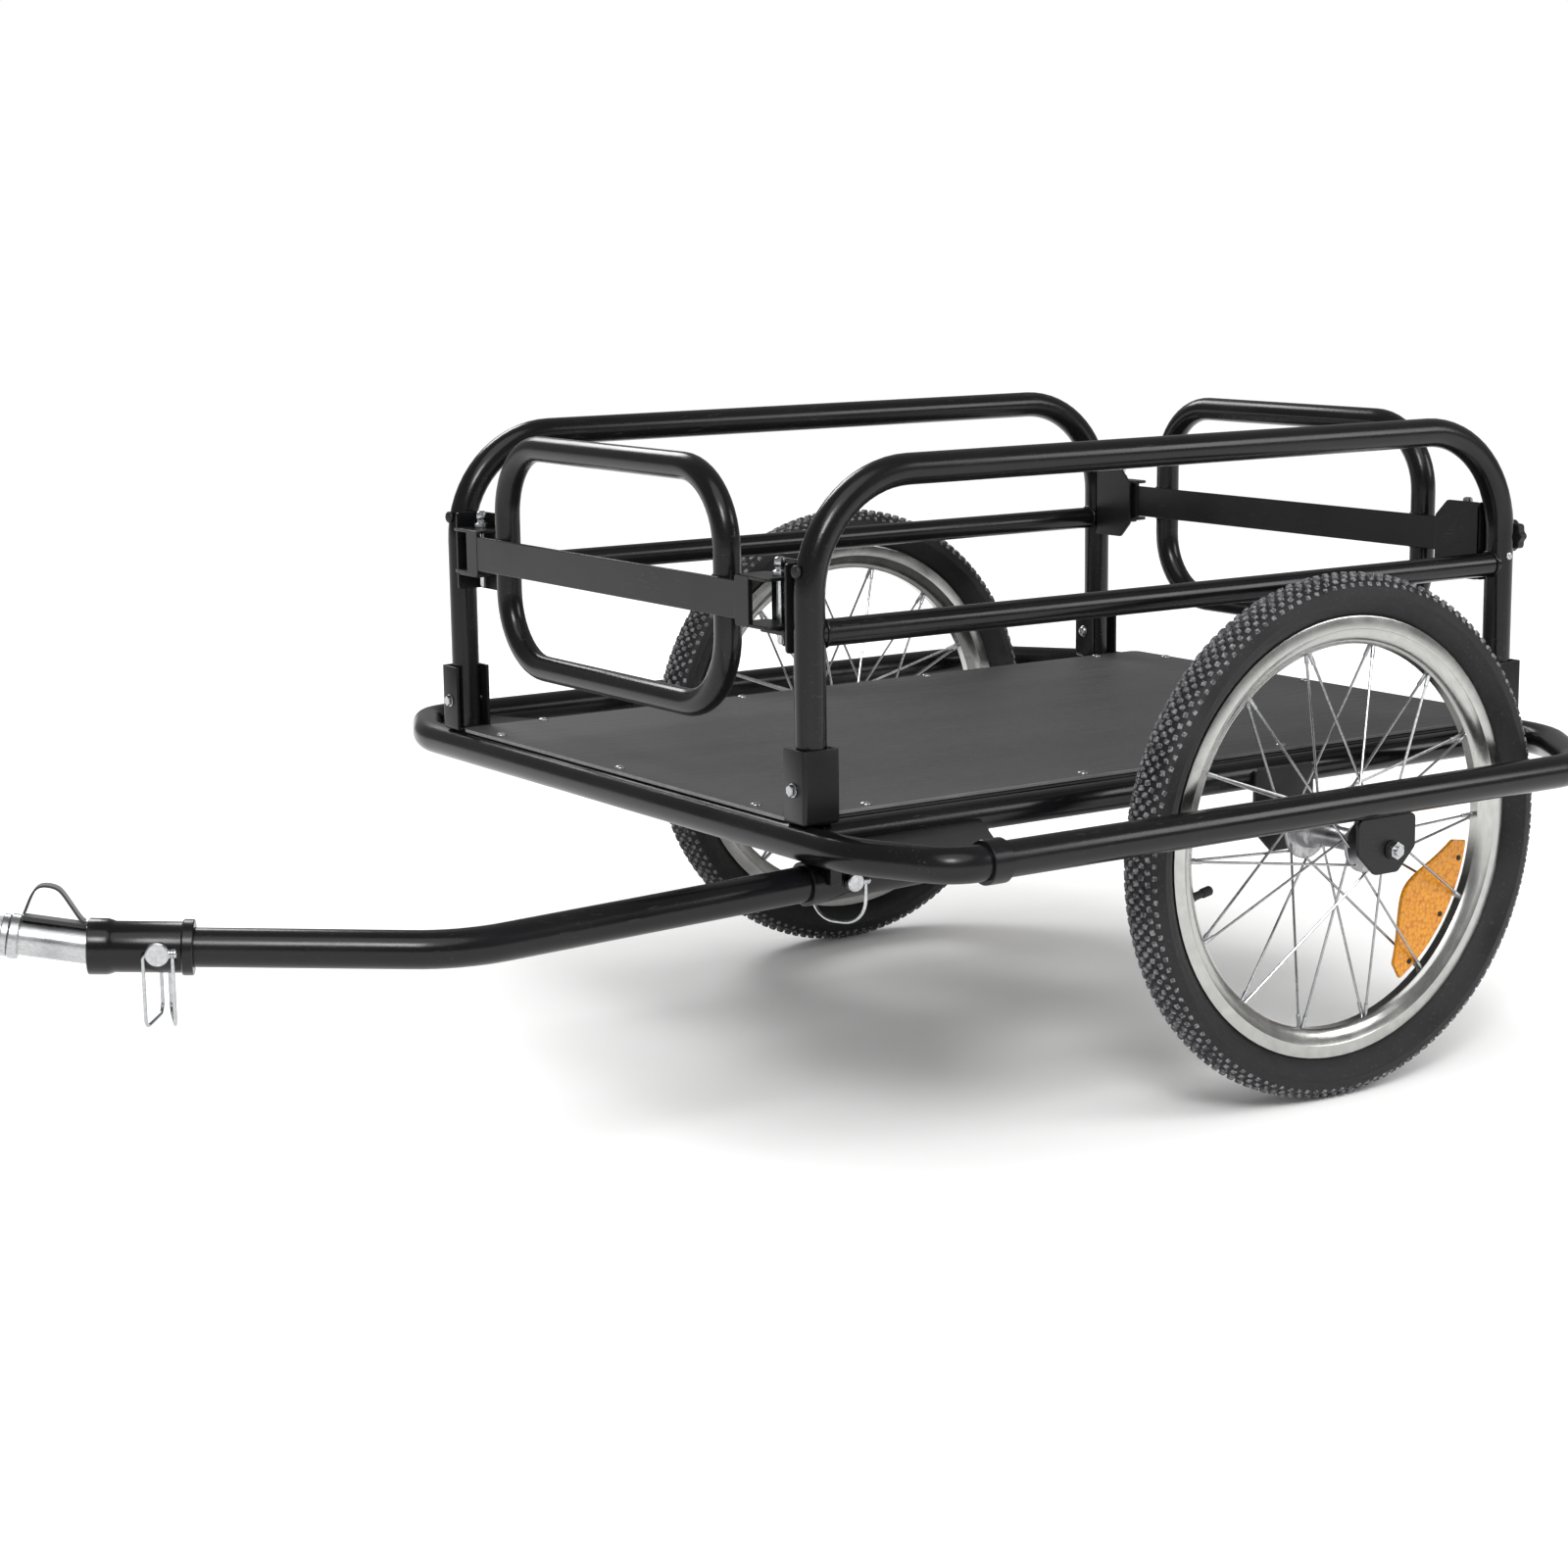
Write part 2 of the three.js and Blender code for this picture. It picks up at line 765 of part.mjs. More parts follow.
function buildWheels() {
  const wheels = [
    ["tyre", turned(tyreProfile(), wheelSides), tyreRubber],
    ["rim", turned(rimProfile(), wheelSides), bareAluminium],
    ["hub", turned(hubProfile(), hubSides), bareAluminium],
    ["spokes_inner", spokeSet(-1), zincSteel],
    ["spokes_outer", spokeSet(1), zincSteel],
    ["axle", axleGeometry(), zincSteel],
    ["reflector", reflectorGeometry(), amberPlastic],
  ];
  for (const [name, geometry, material] of wheels) {
    addPair(name, geometry.translate(0, wheelY, wheelRadius), material);
  }
}

// Post feet: U channels open to the inside, with a bolt through both flanges and the post
const footBottom = bedBottom;
const footTop = footBottom + footHeight;
const footOuterY = postRadius + runningGap + footWall;
const postBoltHole = boreRadius(postBoltRadius, pinGap, rodSides);

function postBoltBore(reach) {
  return rod(
    vector(-reach, 0, postBoltHeight),
    vector(reach, 0, postBoltHeight),
    postBoltHole,
    rodSides,
  );
}

function buildPostFeet() {
  const half = footWidth / 2;
  const solid = block(-half, half, footOuterY - footDepth, footOuterY, footBottom, footTop);
  const hollow = block(
    -half + footWall,
    half - footWall,
    footOuterY - footDepth - overrun,
    footOuterY - footWall,
    footBottom + footWall,
    footTop + overrun,
  );
  const foot = cut(solid, hollow, postBoltBore(half + overrun));
  addAtPosts("post_foot", foot, blackPaint);

  const seat = half + runningGap;
  const profile = [
    [0, -seat - postBoltHeadLength],
    [postBoltHeadRadius, -seat - postBoltHeadLength],
    [postBoltHeadRadius, -seat],
    [postBoltRadius, -seat],
    [postBoltRadius, seat],
    [postBoltHeadRadius, seat],
    [postBoltHeadRadius, seat + postBoltHeadLength / 2],
    [postBoltRadius, seat + postBoltHeadLength],
    [0, seat + postBoltHeadLength],
  ];
  const bolt = turned(profile, rodSides).rotateZ(-Math.PI / 2).translate(0, 0, postBoltHeight);
  addAtPosts("post_bolt", bolt, zincSteel);
}

// Side arches, each with a welded middle rail, standing in two post feet
const postBottom = footBottom + footWall + runningGap;

function sideArch() {
  const corners = [
    vector(postFrontX, railY, postBottom),
    vector(postFrontX, railY, archTopHeight),
    vector(postRearX, railY, archTopHeight),
    vector(postRearX, railY, postBottom),
  ];
  const path = bentPath(corners, [archBendRadius, archBendRadius]);
  const tube = tubeAlong(path, postRadius, postWall, archSides);
  const posts = [postRearX, postFrontX].map((x) => rod(
    vector(x, railY, midRailHeight - 2 * postRadius),
    vector(x, railY, midRailHeight + 2 * postRadius),
    postRadius - postWall / 2,
    archSides,
  ));
  const railEnds = [vector(postRearX, railY, midRailHeight), vector(postFrontX, railY, midRailHeight)];
  const midRail = cut(straightTube(...railEnds, midRailRadius, midRailWall, archSides), ...posts);
  const vent = rod(...railEnds, midRailVentRadius, rodSides);
  const bores = [postFrontX, postRearX].map((x) => postBoltBore(footWidth).translate(x, railY, 0));
  return cut(join(tube, midRail), vent, ...bores);
}

// Gate brackets on the posts: a side plate, a back plate and one lug that the gate rests on
const gateEarBottom = gateBarMiddleHeight - gateEarHeight / 2;
const gateEarTop = gateEarBottom + gateEarHeight;
const dropPinBore = boreRadius(dropPinRadius, pinGap, rodSides);

function dropPinHole(x, y) {
  return rod(
    vector(x, y, gateEarBottom - runningGap - lugEarThick - overrun),
    vector(x, y, gateEarTop + overrun),
    dropPinBore,
    rodSides,
  );
}

function gateBracket() {
  const half = lugWidth / 2;
  const plateOuterY = -postRadius - runningGap;
  const low = lugPlateMiddleHeight - lugPlateHeight / 2;
  const high = low + lugPlateHeight;
  const side = block(-half, half, plateOuterY - lugPlateThick, plateOuterY, low, high);
  const backInner = -lugBackInset;
  const back = plateAcrossY(
    [
      [backInner, low + lugBackCorner],
      [backInner + lugBackCorner, low],
      [plateOuterY, low],
      [plateOuterY, high],
      [backInner + lugBackCorner, high],
      [backInner, high - lugBackCorner],
    ],
    0,
    lugPlateThick,
  ).rotateZ(Math.PI / 2).translate(lugPlateThick - half, 0, 0);
  const lugTop = gateEarBottom - runningGap;
  const lug = block(-half, half, -lugEarInset, plateOuterY, lugTop - lugEarThick, lugTop);
  return cut(join(side, back, lug), dropPinHole(0, -dropPinInset));
}

// A gate: a closed loop of tube, a flat bar across its outer or inner face, and pinned ears at both ends
function gateGeometry(postX, facing) {
  const halfWidth = railY - gateInset;
  const barHalfWidth = railY - gateBarInset;
  const loopX = postX + facing * gateOffsetX;
  const middle = (gateBottomHeight + gateTopHeight) / 2;
  const corners = [
    vector(loopX, halfWidth, middle),
    vector(loopX, halfWidth, gateTopHeight),
    vector(loopX, -halfWidth, gateTopHeight),
    vector(loopX, -halfWidth, gateBottomHeight),
    vector(loopX, halfWidth, gateBottomHeight),
    vector(loopX, halfWidth, middle),
  ];
  const path = bentPath(corners, corners.slice(2).map(() => gateCornerRadius));
  const loop = ringAlong(path, gateTubeRadius, archSides);
  const bore = ringAlong(path, gateTubeRadius - gateTubeWall, archSides);
  const vent = rod(
    vector(loopX, 0, gateBottomHeight - gateTubeRadius - overrun),
    vector(loopX, 0, gateBottomHeight),
    gateVentRadius,
    rodSides,
  );
  const barX = loopX + gateTubeRadius - weldDepth / 2;
  const barLow = gateBarMiddleHeight - gateBarHeight / 2;
  const bar = block(
    barX,
    barX + gateBarThick,
    -barHalfWidth,
    barHalfWidth,
    barLow,
    barLow + gateBarHeight,
  );
  const fromX = Math.min(barX, postX - gateEarPinMargin);
  const toX = Math.max(barX + gateBarThick, postX + gateEarPinMargin);
  const ears = [1, -1].flatMap((side) => {
    const span = (near, far) => [Math.min(side * near, side * far), Math.max(side * near, side * far)];
    const [inner, outer] = span(railY - gateEarInnerInset, railY - gateEarOuterInset);
    const [plateFrom, plateTo] = span(railY - gateEarInnerInset, railY - gateEarPlateInset);
    return [
      block(fromX, toX, inner, outer, gateEarBottom, gateEarBottom + gateEarThick),
      block(fromX, toX, inner, outer, gateEarTop - gateEarThick, gateEarTop),
      block(barX, barX + gateBarThick, plateFrom, plateTo, gateEarBottom, gateEarTop),
    ];
  });
  const holes = [1, -1].map((side) => dropPinHole(postX, side * (railY - dropPinInset)));
  const tube = cut(loop, bore, vent);
  return cut(join(tube, bar, ...ears), ...holes);
}

// Drop pin: collar and grip on top, resting on the gate's upper ear
function dropPin() {
  const seat = gateEarTop + runningGap;
  const bottom = gateEarBottom - runningGap - lugEarThick - dropPinTail;
  const profile = [
    [0, bottom],
    [dropPinRadius - dropPinTip / 2, bottom],
    [dropPinRadius, bottom + dropPinTip],
    [dropPinRadius, seat],
    [dropPinCollarRadius, seat],
    [dropPinCollarRadius, seat + dropPinCollarLength],
    [dropPinGripRadius, seat + dropPinCollarLength],
    [dropPinGripRadius, seat + dropPinGripLength - dropPinTip],
    [dropPinGripRadius - dropPinTip, seat + dropPinGripLength],
    [0, seat + dropPinGripLength],
  ];
  return turned(profile, rodSides).rotateX(Math.PI / 2).translate(0, -dropPinInset, 0);
}

// Clamp knob on the outer face of a rear post, its shank in a drilled hole
const knobHole = boreRadius(knobShankRadius, pinGap, rodSides);

function knobGeometry() {
  const profile = [
    [0, postRadius - knobShankLength],
    [knobShankRadius, postRadius - knobShankLength],
    [knobShankRadius, postRadius + runningGap],
    [knobRadius, postRadius + runningGap],
    [knobRadius, postRadius + runningGap + knobLength * knobCrownShare],
    [knobRadius * knobCrownShare, postRadius + runningGap + knobLength],
    [0, postRadius + runningGap + knobLength],
  ];
  const knob = turned(profile, tubeSides).rotateZ(Math.PI / 2);
  return knob.translate(postRearX, railY, knobHeight);
}

function buildSuperstructure() {
  const shankHole = rod(
    vector(postRearX - 2 * postRadius, railY, knobHeight),
    vector(postRearX, railY, knobHeight),
    knobHole,
    rodSides,
  );
  addPair("side_arch", cut(sideArch(), shankHole), blackPaint);
  addAtPosts("gate_bracket", gateBracket(), blackPaint);
  addAtPosts("gate_pin", dropPin(), zincSteel);
  addMesh(trailer, "gate_front", gateGeometry(postFrontX, 1), blackPaint);
  addMesh(trailer, "gate_rear", gateGeometry(postRearX, -1), blackPaint);
  addPair("clamp_knob", knobGeometry(), blackPlastic);
}

// Tow bar: a straight run in its socket, one bend and a run to the coupler
const towRear = vector(towRearX, railY - towRearInset, guardHeight - towRearDrop);
const towBend = vector(towBendX, railY + towBendOutset, guardHeight - towBendDrop);
const towFront = vector(towFrontX, railY - towFrontInset, guardHeight - towFrontDrop);
const towHeading = towBend.clone().sub(towRear).normalize();
const towFrontHeading = towFront.clone().sub(towBend).normalize();
const towSideways = vector(-towFrontHeading.y, towFrontHeading.x, 0).normalize();
const alongSocket = (distance) => towRear.clone().addScaledVector(towHeading, distance);
const couplerStart = towFront.clone().addScaledVector(towFrontHeading, -couplerLength - couplerEndGap);
const alongCoupler = (distance) => couplerStart.clone().addScaledVector(towFrontHeading, distance);
const hitchPinBore = boreRadius(hitchPinRadius, pinGap, rodSides);
const socketRadius = boreRadius(towRadius, runningGap, tubeSides) + socketWall;
const couplerBore = boreRadius(towRadius, runningGap, tubeSides);
const armBore = boreRadius(armRadius, runningGap, tubeSides);
const couplerRadius = couplerBore + couplerWall;

function socketPinHole() {
  const middle = alongSocket(socketPinAt);
  return rod(
    middle.clone().add(vector(0, -2 * socketRadius, 0)),
    middle.clone().add(vector(0, 2 * socketRadius, 0)),
    hitchPinBore,
    rodSides,
  );
}

function couplerPinHole() {
  const middle = alongCoupler(couplerPinAt);
  return rod(
    middle.clone().addScaledVector(towSideways, -2 * couplerRadius),
    middle.clone().addScaledVector(towSideways, 2 * couplerRadius),
    hitchPinBore,
    rodSides,
  );
}

function buildTowBar() {
  const barEnd = alongCoupler(couplerSeatLength - runningGap);
  const barPath = bentPath([towRear, towBend, barEnd], [towBendRadius]);
  const bar = tubeAlong(barPath, towRadius, towWall, tubeSides);
  addMesh(trailer, "tow_bar", cut(bar, socketPinHole()), blackPaint);

  const bore = rod(
    alongSocket(socketStart - overrun),
    alongSocket(socketStart + socketLength + overrun),
    socketRadius - socketWall,
    tubeSides,
  );
  const railNotch = rod(
    vector(towRear.x, railY, railHeight),
    vector(guardFrontX, railY, railHeight),
    boreRadius(railRadius, runningGap, tubeSides),
    tubeSides,
  );
  const saddles = [saddleInset, socketLength - saddleInset - saddleLength].map((place) => {
    const start = alongSocket(socketStart + place);
    return block(
      start.x,
      start.x + saddleLength,
      railY - saddleWidth / 2,
      railY + saddleWidth / 2,
      start.z,
      start.z + saddleRise,
    );
  });
  const sleeve = rod(
    alongSocket(socketStart),
    alongSocket(socketStart + socketLength),
    socketRadius,
    tubeSides,
  );
  const socket = cut(join(sleeve, ...saddles), bore, railNotch, socketPinHole());
  addMesh(trailer, "tow_socket", socket, blackPaint);
}

// Retaining pin with a wire bail, drawn with the pin along Y and the head on the positive side
function hitchPin(reach) {
  const headMiddle = reach + runningGap + hitchPinHeadLength / 2;
  const profile = [
    [0, -reach - hitchPinTail],
    [hitchPinRadius, -reach - hitchPinTail],
    [hitchPinRadius, reach + runningGap],
    [hitchPinHeadRadius, reach + runningGap],
    [hitchPinHeadRadius, reach + runningGap + hitchPinHeadLength],
    [0, reach + runningGap + hitchPinHeadLength],
  ];
  const wireHole = rod(
    vector(-2 * hitchPinHeadRadius, headMiddle, 0),
    vector(2 * hitchPinHeadRadius, headMiddle, 0),
    boreRadius(bailWireRadius, runningGap, rodSides),
    rodSides,
  );
  return cut(turned(profile, rodSides), wireHole);
}

function bailGeometry(reach, drop) {
  const headMiddle = reach + runningGap + hitchPinHeadLength / 2;
  const tipY = -reach - hitchPinTail - bailTipGap - bailWireRadius;
  const besideHead = hitchPinHeadRadius + bailBendRadius;
  const corners = [
    vector(-hitchPinHeadRadius - bailWireRadius, headMiddle, 0),
    vector(besideHead, headMiddle, 0),
    vector(besideHead, headMiddle, -drop),
    vector(0, tipY, -drop),
    vector(0, tipY, bailWireRadius),
  ];
  const radii = corners.slice(2).map(() => bailBendRadius);
  return tubeAlong(bentPath(corners, radii), bailWireRadius, 0, rodSides);
}

function buildHitchPins() {
  const sidewaysTurn = Math.atan2(towSideways.y, towSideways.x) - Math.PI / 2;
  const places = [
    ["socket", alongSocket(socketPinAt), 0, socketRadius, socketBailDrop],
    ["coupler", alongCoupler(couplerPinAt), sidewaysTurn, couplerRadius, couplerBailDrop],
  ];
  for (const [name, place, turn, reach, drop] of places) {
    const group = new THREE.Group();
    group.position.copy(place);
    group.rotation.z = turn;
    addMesh(group, name + "_pin", hitchPin(reach), zincSteel);
    addMesh(group, name + "_bail", bailGeometry(reach, drop), zincSteel);
    trailer.add(group);
  }
}

// Coupler: a sleeve on the bar's front end that takes the hitch arm, with a collar at each end
function buildCoupler() {
  const collars = [0, couplerLength - couplerCollarLength].map((place) => rod(
    alongCoupler(place),
    alongCoupler(place + couplerCollarLength),
    couplerRadius + couplerCollarWall,
    tubeSides,
  ));
  const body = rod(alongCoupler(0), alongCoupler(couplerLength), couplerRadius, tubeSides);
  const barBore = rod(alongCoupler(-overrun), alongCoupler(couplerSeatLength), couplerBore, tubeSides);
  const armHole = rod(alongCoupler(0), alongCoupler(couplerLength + overrun), armBore, tubeSides);
  const coupler = cut(join(body, ...collars), barBore, armHole, couplerPinHole());
  addMesh(trailer, "coupler", coupler, blackPaint);
}

// Hitch arm: silver tube pinned in the coupler, tilted a little upward past it, with an end collar
const armTilt = Math.asin(armRise / armLength);
const armCorner = alongCoupler(couplerLength);
const armHeading = towFrontHeading
  .clone()
  .applyAxisAngle(towSideways, -armTilt)
  .normalize();
const alongArm = (distance) => armCorner.clone().addScaledVector(armHeading, distance);
const armFrame = new THREE.Matrix4().makeBasis(
  armHeading,
  towSideways.clone().addScaledVector(armHeading, -towSideways.dot(armHeading)).normalize(),
  armHeading.clone().cross(towSideways).normalize(),
);

function buildArm() {
  const path = bentPath(
    [alongCoupler(couplerSeatLength + runningGap), armCorner, alongArm(armLength)],
    [armBendRadius],
  );
  const tube = tubeAlong(path, armRadius, armWall, tubeSides);
  const collar = cut(
    rod(alongArm(armLength - armCollarLength), alongArm(armLength), armCollarRadius, tubeSides),
    rod(
      alongArm(armLength - armCollarLength - overrun),
      alongArm(armLength + overrun),
      armRadius - armWall / 2,
      tubeSides,
    ),
  );
  addMesh(trailer, "hitch_arm", cut(join(tube, collar), couplerPinHole()), zincSteel);
}

// Pieces past the coupler, drawn with X along the arm from the coupler's mouth
const armGroup = new THREE.Group();
armGroup.position.copy(armCorner);
armGroup.setRotationFromMatrix(armFrame);
trailer.add(armGroup);

// Safety strap lying on the arm with one standing loop between the coupler and the collar
function buildStrap() {
  const low = armRadius + 2 * runningGap + strapThick / 2;
  const length = armLength - armCollarLength - runningGap;
  const archShares = [
    [0.1, 0],
    [0.22, 0],
    [0.32, 0.03],
    [0.44, 0.25],
    [0.56, 0.75],
    [0.7, 1],
    [0.84, 0.75],
    [0.92, 0.25],
    [0.98, 0],
  ];
  const points = archShares.map(([along, up]) => (
    new THREE.Vector2(length * along, low + strapArchHeight * up)
  ));
  const curve = new THREE.SplineCurve(points);
  const edges = [strapThick / 2, -strapThick / 2].map((offset) => (
    Array.from({ length: strapSteps + 1 }, (unused, step) => {
      const share = step / strapSteps;
      const point = curve.getPointAt(share);
      const tangent = curve.getTangentAt(share);
      return [point.x - tangent.y * offset, point.y + tangent.x * offset];
    })
  ));
  const strap = plateAcrossY([...edges[0], ...edges[1].reverse()], -strapWidth / 2, strapWidth / 2);
  addMesh(armGroup, "safety_strap", strap, blackWebbing);
}

// Swivel: a stem inside the arm, a flange on its end and a fork of two cheeks
const forkStart = armLength + swivelGap;
const yawX = forkStart + swivelFlangeThick + forkReach;
const pitchX = yawX + blockReach;

function buildSwivel() {
  const stem = [
    [0, armLength - swivelStemLength],
    [swivelStemRadius, armLength - swivelStemLength],
    [swivelStemRadius, forkStart],
    [swivelFlangeRadius, forkStart],
    [swivelFlangeRadius, forkStart + swivelFlangeThick],
    [0, forkStart + swivelFlangeThick],
  ];
  const base = turned(stem, tubeSides).rotateZ(-Math.PI / 2);
  const cheeks = [forkHalfGap, -forkHalfGap - forkThick].flatMap((z) => [
    block(forkStart + weldDepth, yawX, -forkHalfWidth, forkHalfWidth, z, z + forkThick),
    rod(vector(yawX, 0, z), vector(yawX, 0, z + forkThick), forkHalfWidth, tubeSides),
  ]);
  const reach = forkHalfGap + forkThick + overrun;
  const pinHole = rod(
    vector(yawX, 0, -reach),
    vector(yawX, 0, reach),
    boreRadius(yawPinRadius, pinGap, tubeSides),
    tubeSides,
  );
  addMesh(armGroup, "hitch_swivel", cut(join(base, ...cheeks), pinHole), zincSteel);
}

// Universal block: a knuckle between the cheeks with its own upright pin, and a side peg for the plate
function buildBlock() {
  const half = forkHalfGap - runningGap;
  const headLow = forkHalfGap + forkThick + runningGap;
  const knuckle = rod(vector(yawX, 0, -half), vector(yawX, 0, half), blockRadius, tubeSides);
  const nose = block(yawX, pitchX + blockEnd, -blockRadius, blockRadius, -half, half);
  const pin = [
    [0, -headLow - yawPinHeadLength],
    [yawPinHeadRadius, -headLow - yawPinHeadLength],
    [yawPinHeadRadius, -headLow],
    [yawPinRadius, -headLow],
    [yawPinRadius, headLow],
    [yawPinHeadRadius, headLow],
    [yawPinHeadRadius, headLow + yawPinHeadLength],
    [0, headLow + yawPinHeadLength],
  ];
  const pinSolid = turned(pin, tubeSides).rotateX(Math.PI / 2).translate(yawX, 0, 0);
  const pegSeat = blockRadius + runningGap + axlePlateThick + pinGap;
  const peg = [
    [0, 0],
    [pegRadius, 0],
    [pegRadius, pegSeat],
    [pegHeadRadius, pegSeat],
    [pegHeadRadius, pegSeat + pegHeadLength],
    [0, pegSeat + pegHeadLength],
  ];
  const pegSolid = turned(peg, tubeSides).translate(pitchX, 0, 0);
  addMesh(armGroup, "universal_block", join(knuckle, nose, pinSolid, pegSolid), zincSteel);
}

// Axle plate: a flat link that bolts on the bicycle's rear axle at its upper hole
function buildAxlePlate() {
  const yFrom = blockRadius + runningGap;
  const yTo = yFrom + axlePlateThick;
  const steps = rodSides - 2;
  const roundEnd = (start, rise) => Array.from({ length: steps + 1 }, (unused, step) => {
    const angle = start + (Math.PI * step) / steps;
    return [axlePlateHalfWidth * Math.cos(angle), rise + axlePlateHalfWidth * Math.sin(angle)];
  });
  const capsule = [...roundEnd(0, axlePlateRise), ...roundEnd(Math.PI, 0)];
  const holes = [
    [0, boreRadius(pegRadius, pinGap, tubeSides)],
    [axlePlateRise, axleSlotRadius],
  ].map(([z, radius]) => (
    rod(vector(0, yFrom - overrun, z), vector(0, yTo + overrun, z), radius, tubeSides)
  ));
  const plate = cut(plateAcrossY(capsule, yFrom, yTo), ...holes).translate(pitchX, 0, 0);
  addMesh(armGroup, "axle_plate", plate, zincSteel);
}

buildGuard();
buildBedFrame();
buildBed();
buildWheelPlates();
buildWheels();
buildPostFeet();
buildSuperstructure();
buildTowBar();
buildHitchPins();
buildCoupler();
buildArm();
buildStrap();
buildSwivel();
buildBlock();
buildAxlePlate();

// The part's origin is on the ground, below the middle of its outline
trailer.updateMatrixWorld(true);
const outline = new THREE.Box3().setFromObject(trailer, true);
const middle = outline.getCenter(new THREE.Vector3());
trailer.position.set(-middle.x, -middle.y, -outline.min.z);

export default trailer;
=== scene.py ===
# Cargo bike trailer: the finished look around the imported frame.
# Places are written in millimetres from the point on the ground under the wheels' axle line.
import math

import bpy
from mathutils import Matrix, Vector


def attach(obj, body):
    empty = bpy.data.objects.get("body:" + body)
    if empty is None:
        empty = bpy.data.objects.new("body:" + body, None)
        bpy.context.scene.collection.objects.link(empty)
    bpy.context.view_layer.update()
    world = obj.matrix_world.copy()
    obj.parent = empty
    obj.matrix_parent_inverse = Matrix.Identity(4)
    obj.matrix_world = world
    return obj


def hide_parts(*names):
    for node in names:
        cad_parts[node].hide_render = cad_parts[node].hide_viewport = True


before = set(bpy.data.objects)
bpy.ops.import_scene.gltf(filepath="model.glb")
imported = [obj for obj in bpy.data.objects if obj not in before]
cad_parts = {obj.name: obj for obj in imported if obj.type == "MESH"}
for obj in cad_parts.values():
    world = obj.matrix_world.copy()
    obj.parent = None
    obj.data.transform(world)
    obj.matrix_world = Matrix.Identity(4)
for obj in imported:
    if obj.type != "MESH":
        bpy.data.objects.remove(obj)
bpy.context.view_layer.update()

axleShift = -446.628     # where the axle line lies along the frame's X
ahead = Vector((1, 0, 0))
sideways = Vector((0, 1, 0))
up = Vector((0, 0, 1))


def spot(x, y, z):
    return Vector(((x + axleShift) / 1000, y / 1000, z / 1000))


def arrow(x, y, z):
    return Vector((x, y, z)) / 1000


# camera at the photograph's viewing angle
view = {
    "lens": 70.23, "sensor": 36, "yaw": 33.681, "pitch": 10.556, "roll": -0.736,
    "place": (1992.785, 2460.017, 832.06),
}


def addCamera():
    yaw, pitch, roll = (math.radians(view[key]) for key in ("yaw", "pitch", "roll"))
    gaze = Vector((-math.cos(pitch) * math.sin(yaw), -math.cos(pitch) * math.cos(yaw), -math.sin(pitch)))
    right = gaze.cross(up).normalized()
    above = right.cross(gaze)
    rightRolled = right * math.cos(roll) + above * math.sin(roll)
    aboveRolled = above * math.cos(roll) - right * math.sin(roll)
    turn = Matrix((rightRolled, aboveRolled, -gaze)).transposed().to_4x4()
    bpy.ops.object.camera_add()
    camera = bpy.context.active_object
    camera.matrix_world = Matrix.Translation(spot(*view["place"])) @ turn
    camera.data.sensor_width = view["sensor"]
    camera.data.lens = view["lens"]
    bpy.context.scene.camera = camera


addCamera()
print("camera set")


# shader building
def fillInputs(tree, node, inputs):
    for key, value in inputs.items():
        if isinstance(value, bpy.types.NodeSocket):
            tree.links.new(value, node.inputs[key])
        else:
            node.inputs[key].default_value = value


def addNode(tree, kind, inputs, **settings):
    node = tree.nodes.new("ShaderNode" + kind)
    for key, value in settings.items():
        setattr(node, key, value)
    fillInputs(tree, node, inputs)
    return node


def noise(tree, where, scale, detail, distortion=0):
    inputs = {"Vector": where, "Scale": scale, "Detail": detail, "Distortion": distortion}
    return addNode(tree, "TexNoise", inputs).outputs[0]


def drawOut(tree, where, scale):
    return addNode(tree, "Mapping", {"Vector": where, "Scale": scale}).outputs[0]


def multiply(tree, first, second):
    return addNode(tree, "Math", {0: first, 1: second}, operation="MULTIPLY").outputs[0]


def stretch(tree, value, low, high, toLow=0, toHigh=1):
    return addNode(tree, "MapRange", {0: value, 1: low, 2: high, 3: toLow, 4: toHigh}).outputs[0]


def blendColour(tree, factor, first, second):
    return addNode(tree, "Mix", {0: factor, 6: first, 7: second}, data_type="RGBA").outputs[2]


def objectPlace(tree):
    return addNode(tree, "TexCoord", {}).outputs["Object"]


def bump(tree, height, strength, distance):
    return addNode(tree, "Bump", {"Height": height, "Strength": strength, "Distance": distance}).outputs[0]


# each stop is a place on the ramp and its colour
def ramp(tree, factor, *stops):
    node = addNode(tree, "ValToRGB", {0: factor})
    elements = node.color_ramp.elements
    for index, (position, colour) in ((0, stops[0]), (1, stops[-1])):
        elements[index].position = position
        elements[index].color = (*colour, 1)
    for position, colour in stops[1:-1]:
        elements.new(position).color = (*colour, 1)
    return node.outputs[0]


# a group with one number out; an input given as a number is a number, any other a vector
def newGroup(name, output, **inputs):
    tree = bpy.data.node_groups.new(name, "ShaderNodeTree")
    for label, value in inputs.items():
        kind = "NodeSocketFloat" if isinstance(value, (int, float)) else "NodeSocketVector"
        socket = tree.interface.new_socket(label, in_out="INPUT", socket_type=kind)
        if value is not None:
            socket.default_value = value
    tree.interface.new_socket(output, in_out="OUTPUT", socket_type="NodeSocketFloat")
    return tree, tree.nodes.new("NodeGroupInput"), tree.nodes.new("NodeGroupOutput")


def useGroup(tree, group, **inputs):
    return addNode(tree, "Group", inputs, node_tree=group).outputs[0]


# speckle: small scattered flecks with a soft edge
speckle, given, result = newGroup("speckle", "Mask", Vector=None, Scale=200, From=0.55, To=0.7)
grains = noise(speckle, given.outputs[0], given.outputs[1], detail=3)
speckle.links.new(stretch(speckle, grains, given.outputs[2], given.outputs[3]), result.inputs[0])

